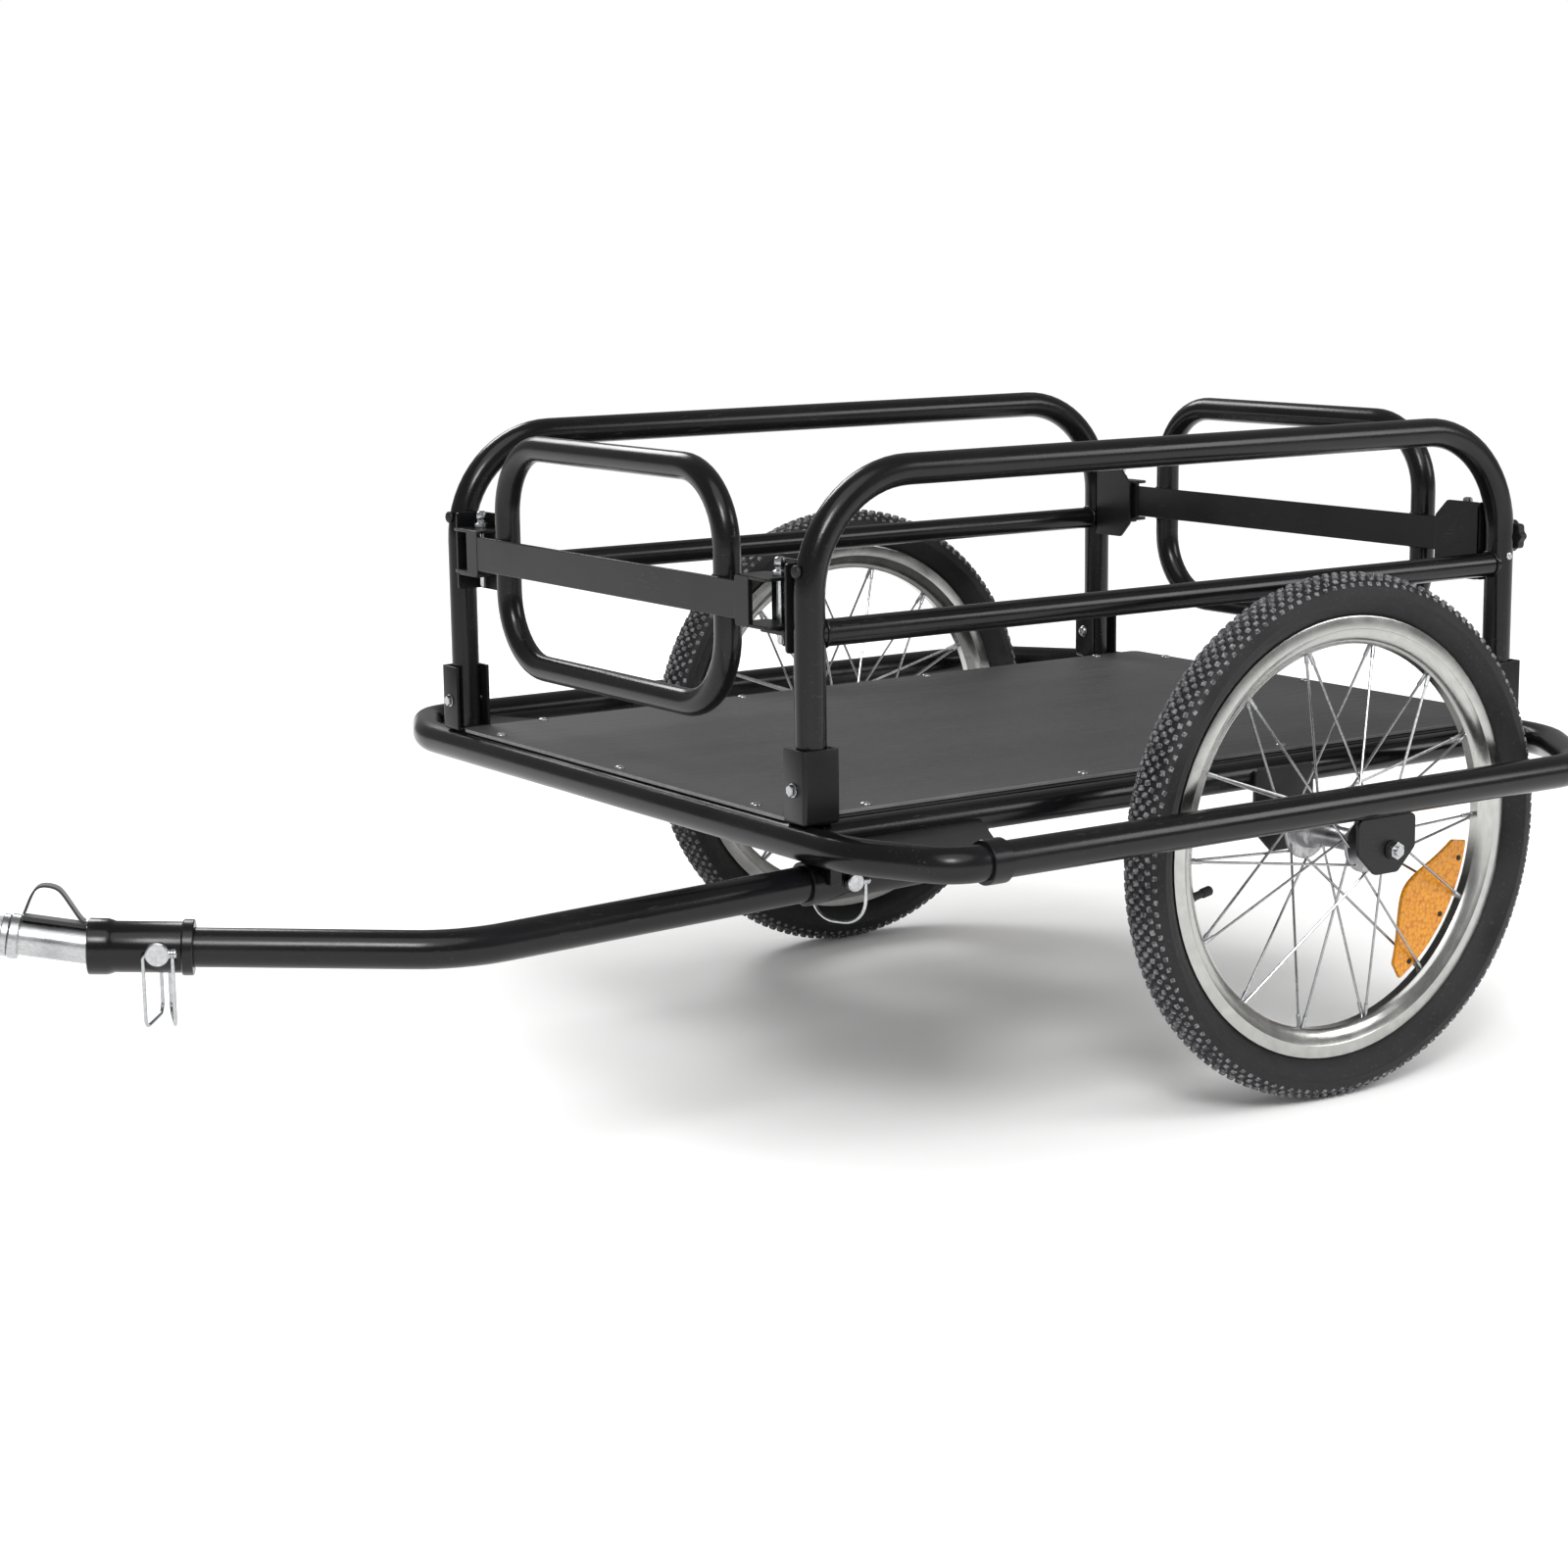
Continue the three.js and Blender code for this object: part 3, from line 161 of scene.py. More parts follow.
# scuffs: thin streaks along one direction, broken up by a broad cloud
scuffs, given, result = newGroup("scuffs", "Mask", Vector=None, Stretch=(40, 400, 400), Amount=0.5)
streaks = noise(scuffs, drawOut(scuffs, given.outputs[0], given.outputs[1]), scale=1, detail=4)
thin = stretch(scuffs, streaks, low=0.62, high=0.7)
cloud = noise(scuffs, given.outputs[0], scale=14, detail=2)
patches = stretch(scuffs, cloud, low=0.45, high=0.75)
scuffs.links.new(multiply(scuffs, multiply(scuffs, thin, patches), given.outputs[2]), result.inputs[0])

# peel: the faint ripple of sprayed or moulded skins
peel, given, result = newGroup("peel", "Height", Vector=None, Scale=600)
peel.links.new(noise(peel, given.outputs[0], given.outputs[1], detail=2), result.inputs[0])


# sockets are named with an underscore for each space
def feed(tree, shader, **sockets):
    fillInputs(tree, shader, {key.replace("_", " "): value for key, value in sockets.items()})


def makeMaterial(name, **settings):
    material = bpy.data.materials.new(name)
    material.use_nodes = True
    tree = material.node_tree
    shader = tree.nodes["Principled BSDF"]
    feed(tree, shader, **settings)
    return material, tree, shader


# materials, each with its dark and its light tone
tones = {
    "tubePaint": ((0.0025, 0.0025, 0.003), (0.006, 0.006, 0.007)),
    "sheetPaint": ((0.0035, 0.0035, 0.004), (0.008, 0.008, 0.009)),
    "zincPlate": ((0.36, 0.37, 0.38), (0.55, 0.56, 0.57)),
    "armZinc": ((0.34, 0.35, 0.355), (0.52, 0.525, 0.53)),
    "rimMetal": ((0.4, 0.4, 0.385), (0.5, 0.5, 0.485)),
    "hubMetal": ((0.22, 0.22, 0.23), (0.45, 0.45, 0.46)),
    "spokeSteel": ((0.3, 0.3, 0.31), (0.52, 0.52, 0.52)),
    "carcassRubber": ((0.007, 0.007, 0.0075), (0.03, 0.03, 0.032)),
    # the tread's light tone is its flecks: partly dust, partly painted highlight for the glints on its small
    # knobs
    "treadRubber": ((0.014, 0.014, 0.016), (0.2, 0.2, 0.21)),
    "knobPlastic": ((0.008, 0.008, 0.009), (0.02, 0.02, 0.02)),
    "capPlastic": ((0.01, 0.01, 0.01), (0.03, 0.03, 0.03)),
    "bedSkin": ((0.045, 0.045, 0.046), (0.054, 0.054, 0.055)),
    "bedEdge": ((0.12, 0.12, 0.12), (0.2, 0.2, 0.2)),
}
paint = {"scuffed": (0.07, 0.07, 0.072, 1), "dusty": (0.06, 0.059, 0.056, 1), "dustAmount": 0.25}


def paintMaterial(name, smooth, rough, streak):
    material, tree, shader = makeMaterial(name, Specular_IOR_Level=0.3)
    dark, light = tones[name]
    where = objectPlace(tree)
    cloud = noise(tree, where, scale=9, detail=3)
    tone = ramp(tree, cloud, (0.3, dark), (0.75, light))
    marks = useGroup(tree, scuffs, Vector=where, Stretch=streak, Amount=0.4)
    dust = useGroup(tree, speckle, Vector=where, Scale=420, From=0.68, To=0.78)
    worn = blendColour(tree, marks, tone, paint["scuffed"])
    colour = blendColour(tree, multiply(tree, dust, paint["dustAmount"]), worn, paint["dusty"])
    gloss = stretch(tree, cloud, low=0.3, high=0.75, toLow=smooth, toHigh=rough)
    skin = useGroup(tree, peel, Vector=where, Scale=520)
    ripple = bump(tree, skin, strength=0.12, distance=0.0004)
    feed(tree, shader, Base_Color=colour, Roughness=gloss, Normal=ripple)
    return material


def metalMaterial(name, rough, streak, grain):
    material, tree, shader = makeMaterial(name, Metallic=1.0)
    dark, light = tones[name]
    where = objectPlace(tree)
    lines = noise(tree, drawOut(tree, where, streak), scale=1, detail=4)
    cloud = noise(tree, where, scale=28, detail=3)
    colour = ramp(tree, multiply(tree, lines, cloud), (0.12, dark), (0.4, light))
    gloss = stretch(tree, cloud, low=0.3, high=0.7, toLow=rough - 0.05, toHigh=rough + 0.06)
    brushing = bump(tree, lines, strength=grain, distance=0.0003)
    feed(tree, shader, Base_Color=colour, Roughness=gloss, Normal=brushing)
    return material


def rubberMaterial(name, fleckFrom, rough):
    material, tree, shader = makeMaterial(name, Specular_IOR_Level=0.3)
    dark, light = tones[name]
    where = objectPlace(tree)
    flecks = useGroup(tree, speckle, Vector=where, Scale=330, From=fleckFrom, To=fleckFrom + 0.16)
    broad = noise(tree, where, scale=22, detail=3)
    between = tuple(0.5 * (first + second) for first, second in zip(dark, light))
    tone = ramp(tree, broad, (0.3, dark), (0.8, between))
    colour = blendColour(tree, flecks, tone, (*light, 1))
    gloss = stretch(tree, broad, low=0.3, high=0.7, toLow=rough - 0.08, toHigh=rough + 0.08)
    skin = useGroup(tree, peel, Vector=where, Scale=900)
    pores = bump(tree, skin, strength=0.35, distance=0.0006)
    feed(tree, shader, Base_Color=colour, Roughness=gloss, Normal=pores)
    return material


board = {"grain": (16, 160, 160), "fleckAmount": 0.4, "fleckPaler": 1.35, "marked": (0.2, 0.2, 0.2, 1)}


def boardMaterial(name, rough):
    material, tree, shader = makeMaterial(name)
    dark, light = tones[name]
    where = objectPlace(tree)
    grain = noise(tree, drawOut(tree, where, board["grain"]), scale=1, detail=5, distortion=0.3)
    flecks = useGroup(tree, speckle, Vector=where, Scale=700, From=0.56, To=0.74)
    tone = ramp(tree, grain, (0.3, dark), (0.7, light))
    paler = tuple(board["fleckPaler"] * value for value in light)
    dots = multiply(tree, flecks, board["fleckAmount"])
    marks = useGroup(tree, scuffs, Vector=where, Stretch=(30, 240, 240), Amount=0.35)
    spotted = blendColour(tree, dots, tone, (*paler, 1))
    colour = blendColour(tree, marks, spotted, board["marked"])
    gloss = stretch(tree, grain, low=0.3, high=0.7, toLow=rough - 0.06, toHigh=rough + 0.08)
    skin = noise(tree, where, scale=950, detail=2)
    pores = bump(tree, skin, strength=0.25, distance=0.0004)
    feed(tree, shader, Base_Color=colour, Roughness=gloss, Normal=pores)
    return material


amber = [(0.0, (0.66, 0.3, 0.005)), (0.5, (0.58, 0.22, 0.002)), (0.95, (0.38, 0.11, 0.0))]


def amberMaterial():
    finish = {"Roughness": 0.18, "Specular_IOR_Level": 0.35, "Coat_Weight": 0.25, "Coat_Roughness": 0.05}
    material, tree, shader = makeMaterial("amberLens", **finish)
    cells = addNode(tree, "TexVoronoi", {"Vector": objectPlace(tree), "Scale": 260}, feature="F1").outputs[0]
    relief = bump(tree, cells, strength=0.5, distance=0.0012)
    feed(tree, shader, Base_Color=ramp(tree, cells, *amber), Normal=relief)
    return material


weave = [(0.0, (0.006, 0.006, 0.007)), (1.0, (0.04, 0.04, 0.043))]


# the pattern follows the band's own map, which runs across and along it
def webbingMaterial():
    material, tree, shader = makeMaterial("webbing", Sheen_Weight=0.3, Sheen_Roughness=0.6)
    where = addNode(tree, "TexCoord", {}).outputs["UV"]
    waves = []
    for scale, direction in ((5.5, "X"), (22, "Y")):
        inputs = {"Vector": where, "Scale": scale, "Distortion": 0.15}
        waves.append(addNode(tree, "TexWave", inputs, bands_direction=direction).outputs[1])
    threads = multiply(tree, *waves)
    gloss = stretch(tree, threads, low=0, high=1, toLow=0.75, toHigh=0.95)
    relief = bump(tree, threads, strength=0.6, distance=0.0005)
    feed(tree, shader, Base_Color=ramp(tree, threads, *weave), Roughness=gloss, Normal=relief)
    return material


tubePaint = paintMaterial("tubePaint", smooth=0.17, rough=0.28, streak=(60, 500, 500))
sheetPaint = paintMaterial("sheetPaint", smooth=0.26, rough=0.42, streak=(500, 60, 500))
zincPlate = metalMaterial("zincPlate", rough=0.27, streak=(300, 300, 300), grain=0.1)
armZinc = metalMaterial("armZinc", rough=0.3, streak=(60, 700, 700), grain=0.12)
rimMetal = metalMaterial("rimMetal", rough=0.22, streak=(90, 900, 90), grain=0.06)
hubMetal = metalMaterial("hubMetal", rough=0.3, streak=(90, 1200, 90), grain=0.12)
spokeSteel = metalMaterial("spokeSteel", rough=0.26, streak=(400, 400, 400), grain=0.05)
amberLens = amberMaterial()
carcassRubber = rubberMaterial("carcassRubber", fleckFrom=0.6, rough=0.58)
# many pale flecks on the tread: dust, and painted highlight standing in for the glints on the knobs
treadRubber = rubberMaterial("treadRubber", fleckFrom=0.43, rough=0.66)
knobPlastic = rubberMaterial("knobPlastic", fleckFrom=0.7, rough=0.45)
capPlastic = rubberMaterial("capPlastic", fleckFrom=0.7, rough=0.5)
bedSkin = boardMaterial("bedSkin", rough=0.52)
bedEdge = boardMaterial("bedEdge", rough=0.6)
webbing = webbingMaterial()
print("materials made")


# modelling helpers
flipY = Matrix.Scale(-1, 4, (0, 1, 0))


def freshStart():
    if bpy.context.mode != "OBJECT":
        bpy.ops.object.mode_set(mode="OBJECT")
    bpy.ops.object.select_all(action="DESELECT")


def makeActive(piece):
    freshStart()
    bpy.context.view_layer.objects.active = piece
    piece.select_set(True)


def applyPlace():
    bpy.ops.object.transform_apply(location=True, rotation=True, scale=True)


def applyModifier(piece, kind, **settings):
    modifier = piece.modifiers.new(kind.lower(), kind)
    for key, value in settings.items():
        setattr(modifier, key, value)
    bpy.ops.object.modifier_apply(modifier=modifier.name)


def intoEdit():
    bpy.ops.object.mode_set(mode="EDIT")
    bpy.ops.mesh.select_all(action="SELECT")


def push(offset):
    bpy.ops.mesh.extrude_region_move(TRANSFORM_OT_translate={"value": offset})


def tidyEdit():
    bpy.ops.mesh.select_all(action="SELECT")
    bpy.ops.mesh.remove_doubles(threshold=0.00001)
    bpy.ops.mesh.normals_make_consistent(inside=False)
    bpy.ops.object.mode_set(mode="OBJECT")


def wrapUp(name, material, smooth=32):
    piece = bpy.context.active_object
    piece.name = name
    piece.data.name = name
    piece.data.materials.clear()
    piece.data.materials.append(material)
    bpy.ops.object.shade_smooth_by_angle(angle=math.radians(smooth))
    return piece


def softenEdges(piece, width, segments=2):
    makeActive(piece)
    limit = {"limit_method": "ANGLE", "angle_limit": math.radians(30)}
    applyModifier(piece, "BEVEL", width=width / 1000, segments=segments, **limit)
    bpy.ops.object.shade_smooth_by_angle(angle=math.radians(40))
    return piece


def cutAway(piece, cutter):
    makeActive(piece)
    applyModifier(piece, "BOOLEAN", operation="DIFFERENCE", object=cutter)
    bpy.data.objects.remove(cutter)


def trackTurn(heading):
    return heading.to_track_quat("Z", "Y").to_euler()


# a line of points in edit mode, left selected
def traceLine(points):
    freshStart()
    bpy.ops.mesh.primitive_plane_add(size=0.001, location=points[0])
    applyPlace()
    intoEdit()
    bpy.ops.mesh.merge(type="CENTER")
    for before, after in zip(points, points[1:]):
        push(after - before)
    bpy.ops.mesh.select_all(action="SELECT")


# a tube that runs straight between rounded corners
def bentTube(name, material, corners, bends, radius, sides=32, bendStep=8, closed=False):
    freshStart()
    headings = [(after - before).normalized() for before, after in zip(corners, corners[1:])]
    bpy.ops.mesh.primitive_circle_add(
        vertices=sides,
        radius=radius / 1000,
        location=corners[0],
        rotation=trackTurn(headings[0]),
    )
    applyPlace()
    intoEdit()
    reached = corners[0].copy()
    for corner, before, after, bend in zip(corners[1:], headings, headings[1:], bends):
        angle = before.angle(after)
        trim = bend / 1000 * math.tan(angle / 2)
        push(corner - before * trim - reached)
        across = before.cross(after).normalized()
        centre = corner - before * trim + across.cross(before) * bend / 1000
        steps = max(3, math.ceil(math.degrees(angle) / bendStep))
        bpy.ops.mesh.spin(steps=steps, angle=-angle, center=centre, axis=across)
        reached = corner + after * trim
    push(corners[-1] - reached)
    if not closed:
        bpy.ops.mesh.select_all(action="SELECT")
        bpy.ops.mesh.fill_holes(sides=0)
    tidyEdit()
    return wrapUp(name, material)


# a profile of (radius, place along the axis) pairs, spun once round; a ring's profile closes on itself
def turned(name, material, centre, axis, profile, steps=48, smooth=32, ring=False):
    outward = axis.orthogonal().normalized()
    pairs = profile + profile[:1] if ring else profile
    traceLine([centre + outward * radius / 1000 + axis * along / 1000 for radius, along in pairs])
    bpy.ops.mesh.spin(steps=steps, angle=math.tau, center=centre, axis=axis)
    tidyEdit()
    return wrapUp(name, material, smooth=smooth)


# a flat outline pulled out to a plate
def plate(name, material, outline, depth, soften=0.6):
    traceLine(outline)
    bpy.ops.mesh.edge_face_add()
    push(depth)
    tidyEdit()
    return softenEdges(wrapUp(name, material), soften)


def block(name, material, low, high, soften):
    freshStart()
    bpy.ops.mesh.primitive_cube_add(size=1, location=(low + high) / 2, scale=high - low)
    applyPlace()
    return softenEdges(wrapUp(name, material), soften)


def rodBetween(name, material, start, end, radius, sides=12, soften=0):
    freshStart()
    bpy.ops.mesh.primitive_cylinder_add(
        vertices=sides,
        radius=radius / 1000,
        depth=(end - start).length,
        location=(start + end) / 2,
        rotation=trackTurn((end - start).normalized()),
    )
    applyPlace()
    piece = wrapUp(name, material)
    return softenEdges(piece, soften) if soften else piece


def weldRing(name, centre, axis, radius, bead):
    freshStart()
    bpy.ops.mesh.primitive_torus_add(
        major_segments=32,
        minor_segments=10,
        major_radius=radius / 1000,
        minor_radius=bead / 1000,
        location=centre,
        rotation=trackTurn(axis),
    )
    applyPlace()
    return wrapUp(name, tubePaint, smooth=60)


def joinUp(name, *pieces):
    freshStart()
    for piece in pieces:
        piece.select_set(True)
    bpy.context.view_layer.objects.active = pieces[0]
    bpy.ops.object.join()
    pieces[0].name = name
    pieces[0].data.name = name
    return pieces[0]


def copyOf(piece, name, move):
    twin = piece.copy()
    twin.data = piece.data.copy()
    twin.name = name
    twin.data.name = name
    bpy.context.scene.collection.objects.link(twin)
    twin.data.transform(move)
    if move.determinant() < 0:
        twin.data.flip_normals()
    return twin


def rounded(points, radius, steps=5):
    outline = []
    for index, corner in enumerate(points):
        before = points[index - 1] - corner
        after = points[(index + 1) % len(points)] - corner
        inside = before.angle(after)
        reach = min(radius / 1000 / math.tan(inside / 2), 0.45 * before.length, 0.45 * after.length)
        first = corner + before.normalized() * reach
        last = corner + after.normalized() * reach
        for step in range(steps + 1):
            share = step / steps
            outline.append(first.lerp(corner, share).lerp(corner.lerp(last, share), share))
    return outline


# half a circle as (x, y) pairs, anticlockwise from the start angle
def halfCircle(x, y, radius, start):
    steps = 12
    angles = [start + math.pi * step / steps for step in range(steps + 1)]
    return [(x + radius * math.cos(angle), y + radius * math.sin(angle)) for angle in angles]


def mirrored(half):
    return [(radius, -along) for radius, along in half]


# the profile of a short tube with its outer edges cut back
def collarProfile(bore, radius, start, end, radialCut=0.8, endCut=0.8):
    return [
        (bore, start),
        (radius - radialCut, start),
        (radius, start + endCut),
        (radius, end - endCut),
        (radius - radialCut, end),
        (bore, end),
    ]


def hexHead(name, centre, axis, across, height):
    end = centre + axis * height / 1000
    return rodBetween(name, zincPlate, centre, end, across / math.sqrt(3), sides=6, soften=0.7)


def washer(name, centre, axis, radius, thick, material=zincPlate, chamfer=0.3):
    profile = [(0, 0), (radius - chamfer, 0), (radius, chamfer)]
    profile += [(radius, thick - chamfer), (radius - chamfer, thick), (0, thick)]
    return turned(name, material, centre, axis, profile, steps=28)


def settle(piece, body, slot, *nodes):
    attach(piece, body)
    if nodes:
        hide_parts(*nodes)
    return piece


# a left piece and its mirrored right twin; {} in the body's or node's name takes the side
def settlePair(left, body, slot, *nodes):
    right = copyOf(left, left.name.replace("Left", "Right"), flipY)
    for piece, side in ((right, "right"), (left, "left")):
        settle(piece, body.format(side), slot, *[node.format(side) for node in nodes])


# wheels
wheel = {"radius": 250, "middle": 404, "rimInner": 183}
axleMiddle = spot(0, wheel["middle"], wheel["radius"])


def wheelPoint(radius, degrees, along):
    angle = math.radians(degrees)
    return axleMiddle + arrow(radius * math.cos(angle), along, radius * math.sin(angle))


def wheelRing(name, material, section, steps=96, smooth=28):
    return turned(name, material, axleMiddle, sideways, section, steps=steps, smooth=smooth, ring=True)


def spinCopies(piece, count):
    makeActive(piece)
    intoEdit()
    turn = math.tau * (count - 1) / count
    bpy.ops.mesh.spin(steps=count - 1, dupli=True, angle=turn, center=axleMiddle, axis=sideways)
    bpy.ops.object.mode_set(mode="OBJECT")
    return piece


# half profiles hold (radius, distance from the wheel's middle)
tyre = {
    "outside": [
        (204, 9.7), (210.8, 9.7), (213, 12.6), (218, 17.6), (224, 21.2), (228.6, 22.9), (229.2, 23.4),
        (231.2, 23.4), (231.8, 22.9), (236, 22.4), (241, 19.4), (244.3, 14.8), (246.2, 8), (246.6, 0),
    ],
    "inside": [
        (242.4, 0), (241.5, 9), (237.5, 15.4), (231, 18.6), (222, 17), (215, 12.4), (211, 5.8), (204, 5.8),
    ],
    "pitches": 136,
    # a row has its radius, distance, knob length, width, height, tilt, shift in pitches and twist
    "rows": [
        (247.7, 3.4, 5.2, 5.0, 3.8, 0, 0.0, 12),
        (246.5, 9.4, 4.8, 4.6, 3.8, 18, 0.5, -14),
        (243.9, 14.9, 5.4, 4.4, 3.8, 36, 0.0, 10),
        (239.8, 19.4, 4.8, 4.2, 3.4, 56, 0.5, -8),
    ],
}


def buildTreadKnob(side, radius, along, length, width, height, tilt, shift, twist):
    sideShift = shift if side > 0 else 0.5 - shift
    turn = Matrix.Rotation(math.radians(sideShift * 360 / tyre["pitches"]), 4, "Y")
    lean = Matrix.Rotation(math.radians(-side * tilt), 4, "X") @ Matrix.Rotation(math.radians(twist), 4, "Z")
    freshStart()
    bpy.ops.mesh.primitive_cube_add(size=1)
    cube = bpy.context.active_object
    cube.scale = arrow(length, width, height)
    cube.rotation_euler = (turn @ lean).to_euler()
    cube.location = axleMiddle + turn @ arrow(0, side * along, radius)
    applyPlace()
    return cube


def buildTyre():
    outside, inside = tyre["outside"], tyre["inside"]
    section = mirrored(outside) + outside[-2::-1] + inside[::-1] + mirrored(inside)[1:]
    carcass = wheelRing("tyreCarcass", carcassRubber, section, smooth=40)
    tread = joinUp("tread", *[buildTreadKnob(side, *row) for row in tyre["rows"] for side in (1, -1)])
    softenEdges(tread, width=0.7, segments=1)
    spinCopies(tread, tyre["pitches"])
    wrapUp("tread", treadRubber, smooth=30)
    return joinUp("tyreLeft", carcass, tread)


rim = {
    "half": [
        (183, 4.6), (184.4, 6.6), (188, 9.0), (193, 11.2), (197.4, 12.1), (198, 12.5), (208.8, 12.5),
        (210, 12.0), (210, 10.2), (203.6, 10), (203.4, 7.2), (200, 5.6), (199, 2.4),
    ],
}


def buildRim():
    section = rim["half"][::-1] + mirrored(rim["half"])
    return wheelRing("rimLeft", rimMetal, section)


hub = {
    "half": [
        (10.6, 0), (10.6, 20), (12, 24), (15.4, 28), (16.4, 37.8), (25.8, 38.2), (27, 39), (27, 41),
        (25.8, 41.8), (17, 42.2), (14.4, 43), (14, 47), (13, 48), (6, 48),
    ],
    "flangeHalf": 40,
}


def buildHub():
    section = mirrored(hub["half"][::-1]) + hub["half"][1:]
    return wheelRing("hubLeft", hubMetal, section, steps=64)


spoke = {
    "count": 14, "hubRing": 23.4, "offset": 1.6, "sweep": 2, "rimOffset": 2, "elbowBack": 2.2,
    "elbowFront": 0.6, "nippleLength": 13,
}


# half of a flange's spokes lean forward on its outer face, and half lean back on its inner face
def buildSpokes(name, side):
    pitch = 360 / spoke["count"]
    sets = []
    for first, lean in ((0, 1), (1, -1)):
        offset = lean * spoke["offset"]
        start = wheelPoint(spoke["hubRing"], first * pitch, side * (hub["flangeHalf"] + offset))
        rimAngle = (first + lean * spoke["sweep"]) * pitch
        end = wheelPoint(wheel["rimInner"] + 1, rimAngle, side * spoke["rimOffset"])
        inward = (start - end).normalized()
        elbowStart = start - sideways * side * (offset + lean * spoke["elbowBack"]) / 1000
        elbowEnd = start + sideways * side * lean * spoke["elbowFront"] / 1000
        wire = rodBetween(name + "Wire", spokeSteel, start, end, radius=1.3, sides=8)
        elbow = rodBetween(name + "Elbow", spokeSteel, elbowStart, elbowEnd, radius=1.5, sides=8)
        nippleStart = end + inward * spoke["nippleLength"] / 1000
        nipple = rodBetween(name + "Nipple", zincPlate, nippleStart, end, radius=2.1, sides=8, soften=0.4)
        sets.append(spinCopies(joinUp(name, wire, elbow, nipple), spoke["count"] // 2))
    return joinUp(name, *sets)


reflector = {
    "outer": 173, "depth": 63, "endShare": 0.28, "from": 188, "sweep": 52, "steps": 28, "half": 2.3,
    "clipAngles": (194, 214, 234), "clipRing": 166, "clipHalf": 3.4,
}


def buildReflector():
    outer, inner = [], []
    for step in range(reflector["steps"] + 1):
        share = step / reflector["steps"]
        angle = reflector["from"] + reflector["sweep"] * share
        swell = reflector["endShare"] + (1 - reflector["endShare"]) * math.sin(math.pi * share)
        innerRadius = reflector["outer"] - reflector["depth"] * swell
        outer.append(wheelPoint(reflector["outer"], angle, -reflector["half"]))
        inner.append(wheelPoint(innerRadius, angle, -reflector["half"]))
    thick = arrow(0, 2 * reflector["half"], 0)
    lens = plate("reflectorLens", amberLens, outer + inner[::-1], thick, soften=1.2)
    clips = []
    for angle in reflector["clipAngles"]:
        ends = [wheelPoint(reflector["clipRing"], angle, side * reflector["clipHalf"]) for side in (-1, 1)]
        clips.append(rodBetween("clip", knobPlastic, *ends, radius=2.6, sides=16, soften=0.5))
    return joinUp("reflectorLeft", lens, *clips)


valve = {
    "angle": -11, "seat": 2,
    "profile": [
        (0, 0), (5.2, 0), (5.2, 3), (3.9, 6), (3.6, 15), (4.4, 15.6), (4.6, 16.2), (4.6, 25), (3.6, 26.4),
        (0, 26.8),
    ],
}


def buildValve():
    base = wheelPoint(wheel["rimInner"] + valve["seat"], valve["angle"], 0)
    inward = (axleMiddle - base).normalized()
    return turned("valveLeft", capPlastic, base, inward, valve["profile"], steps=24)


axle = {
    "nutAcross": 15,
    "washerRadius": 8.9,
    "innerSpacer": [(0, 0), (7, 0), (7, 14), (8.8, 16.4), (0, 16.4)],
    "outerSpacer": [(0, 0), (8.2, 0), (8.2, 12), (8.9, 20), (0, 20)],
}


def buildAxle():
    def onAxle(y):
        return spot(0, y, wheel["radius"])

    nut, disc = axle["nutAcross"], axle["washerRadius"]
    return joinUp(
        "axleLeft",
        rodBetween("spindle", zincPlate, onAxle(318.4), onAxle(488.2), radius=4.9, sides=28, soften=0.6),
        washer("innerWasher", onAxle(329.1), -sideways, disc, thick=1.4),
        hexHead("innerNut", onAxle(327.6), -sideways, nut, height=6.6),
        hexHead("innerCone", onAxle(333.8), sideways, nut, height=5),
        turned("innerSpacer", hubMetal, onAxle(339), sideways, axle["innerSpacer"], steps=32),
        turned("outerSpacer", hubMetal, onAxle(472.7), -sideways, axle["outerSpacer"], steps=32),
        washer("outerWasher", onAxle(477.3), sideways, disc, thick=1.5, material=knobPlastic),
        hexHead("outerNut", onAxle(478.9), sideways, nut, height=6.4),
    )


wheelPieces = [
    (buildTyre(), "tyre_rubber", "tyre_{}"),
    (buildRim(), "bare_aluminium", "rim_{}"),
    (buildHub(), "bare_aluminium", "hub_{}"),
    (buildSpokes("spokesInnerLeft", -1), "zinc_steel", "spokes_inner_{}"),
    (buildSpokes("spokesOuterLeft", 1), "zinc_steel", "spokes_outer_{}"),
    (buildReflector(), "amber_reflector", "reflector_{}"),
    (buildValve(), "black_plastic"),
]
for piece, slot, *nodes in wheelPieces:
    settlePair(piece, "wheel_{}", slot, *nodes)
settlePair(buildAxle(), "frame", "zinc_steel", "axle_{}")
print("wheels built")


# guard frame: a front and a rear tube, butted in a sleeve on each side
guard = {
    "height": 298, "side": 475, "jointX": 462,
    "front": {"endX": 545, "endY": 385, "cornerX": 500, "endBend": 100, "sideBend": 40},
    "rear": {"endX": -345, "endY": 350, "cornerX": -250, "endBend": 100, "sideBend": 70},
    "sleeve": collarProfile(bore=16.1, radius=19.5, start=-10, end=10, radialCut=0.7),
    "gussetLow": 297, "gussetThick": 2,
    "gusset": [
        (534, 329.4), (362, 329.4), (438, 463), (470, 466), (492, 462), (506, 446), (526, 406), (534, 376),
    ],
}


def guardTube(name, end):
    tube = guard[end]
    side = guard["side"]
    corners = [spot(x, y, guard["height"]) for x, y in (
        (guard["jointX"], -side),
        (tube["cornerX"], -side),
        (tube["endX"], -tube["endY"]),
        (tube["endX"], tube["endY"]),
        (tube["cornerX"], side),
        (guard["jointX"], side),
    )]
    bends = (tube["sideBend"], tube["endBend"], tube["endBend"], tube["sideBend"])
    return bentTube(name, tubePaint, corners, bends, radius=15.95, sides=36)


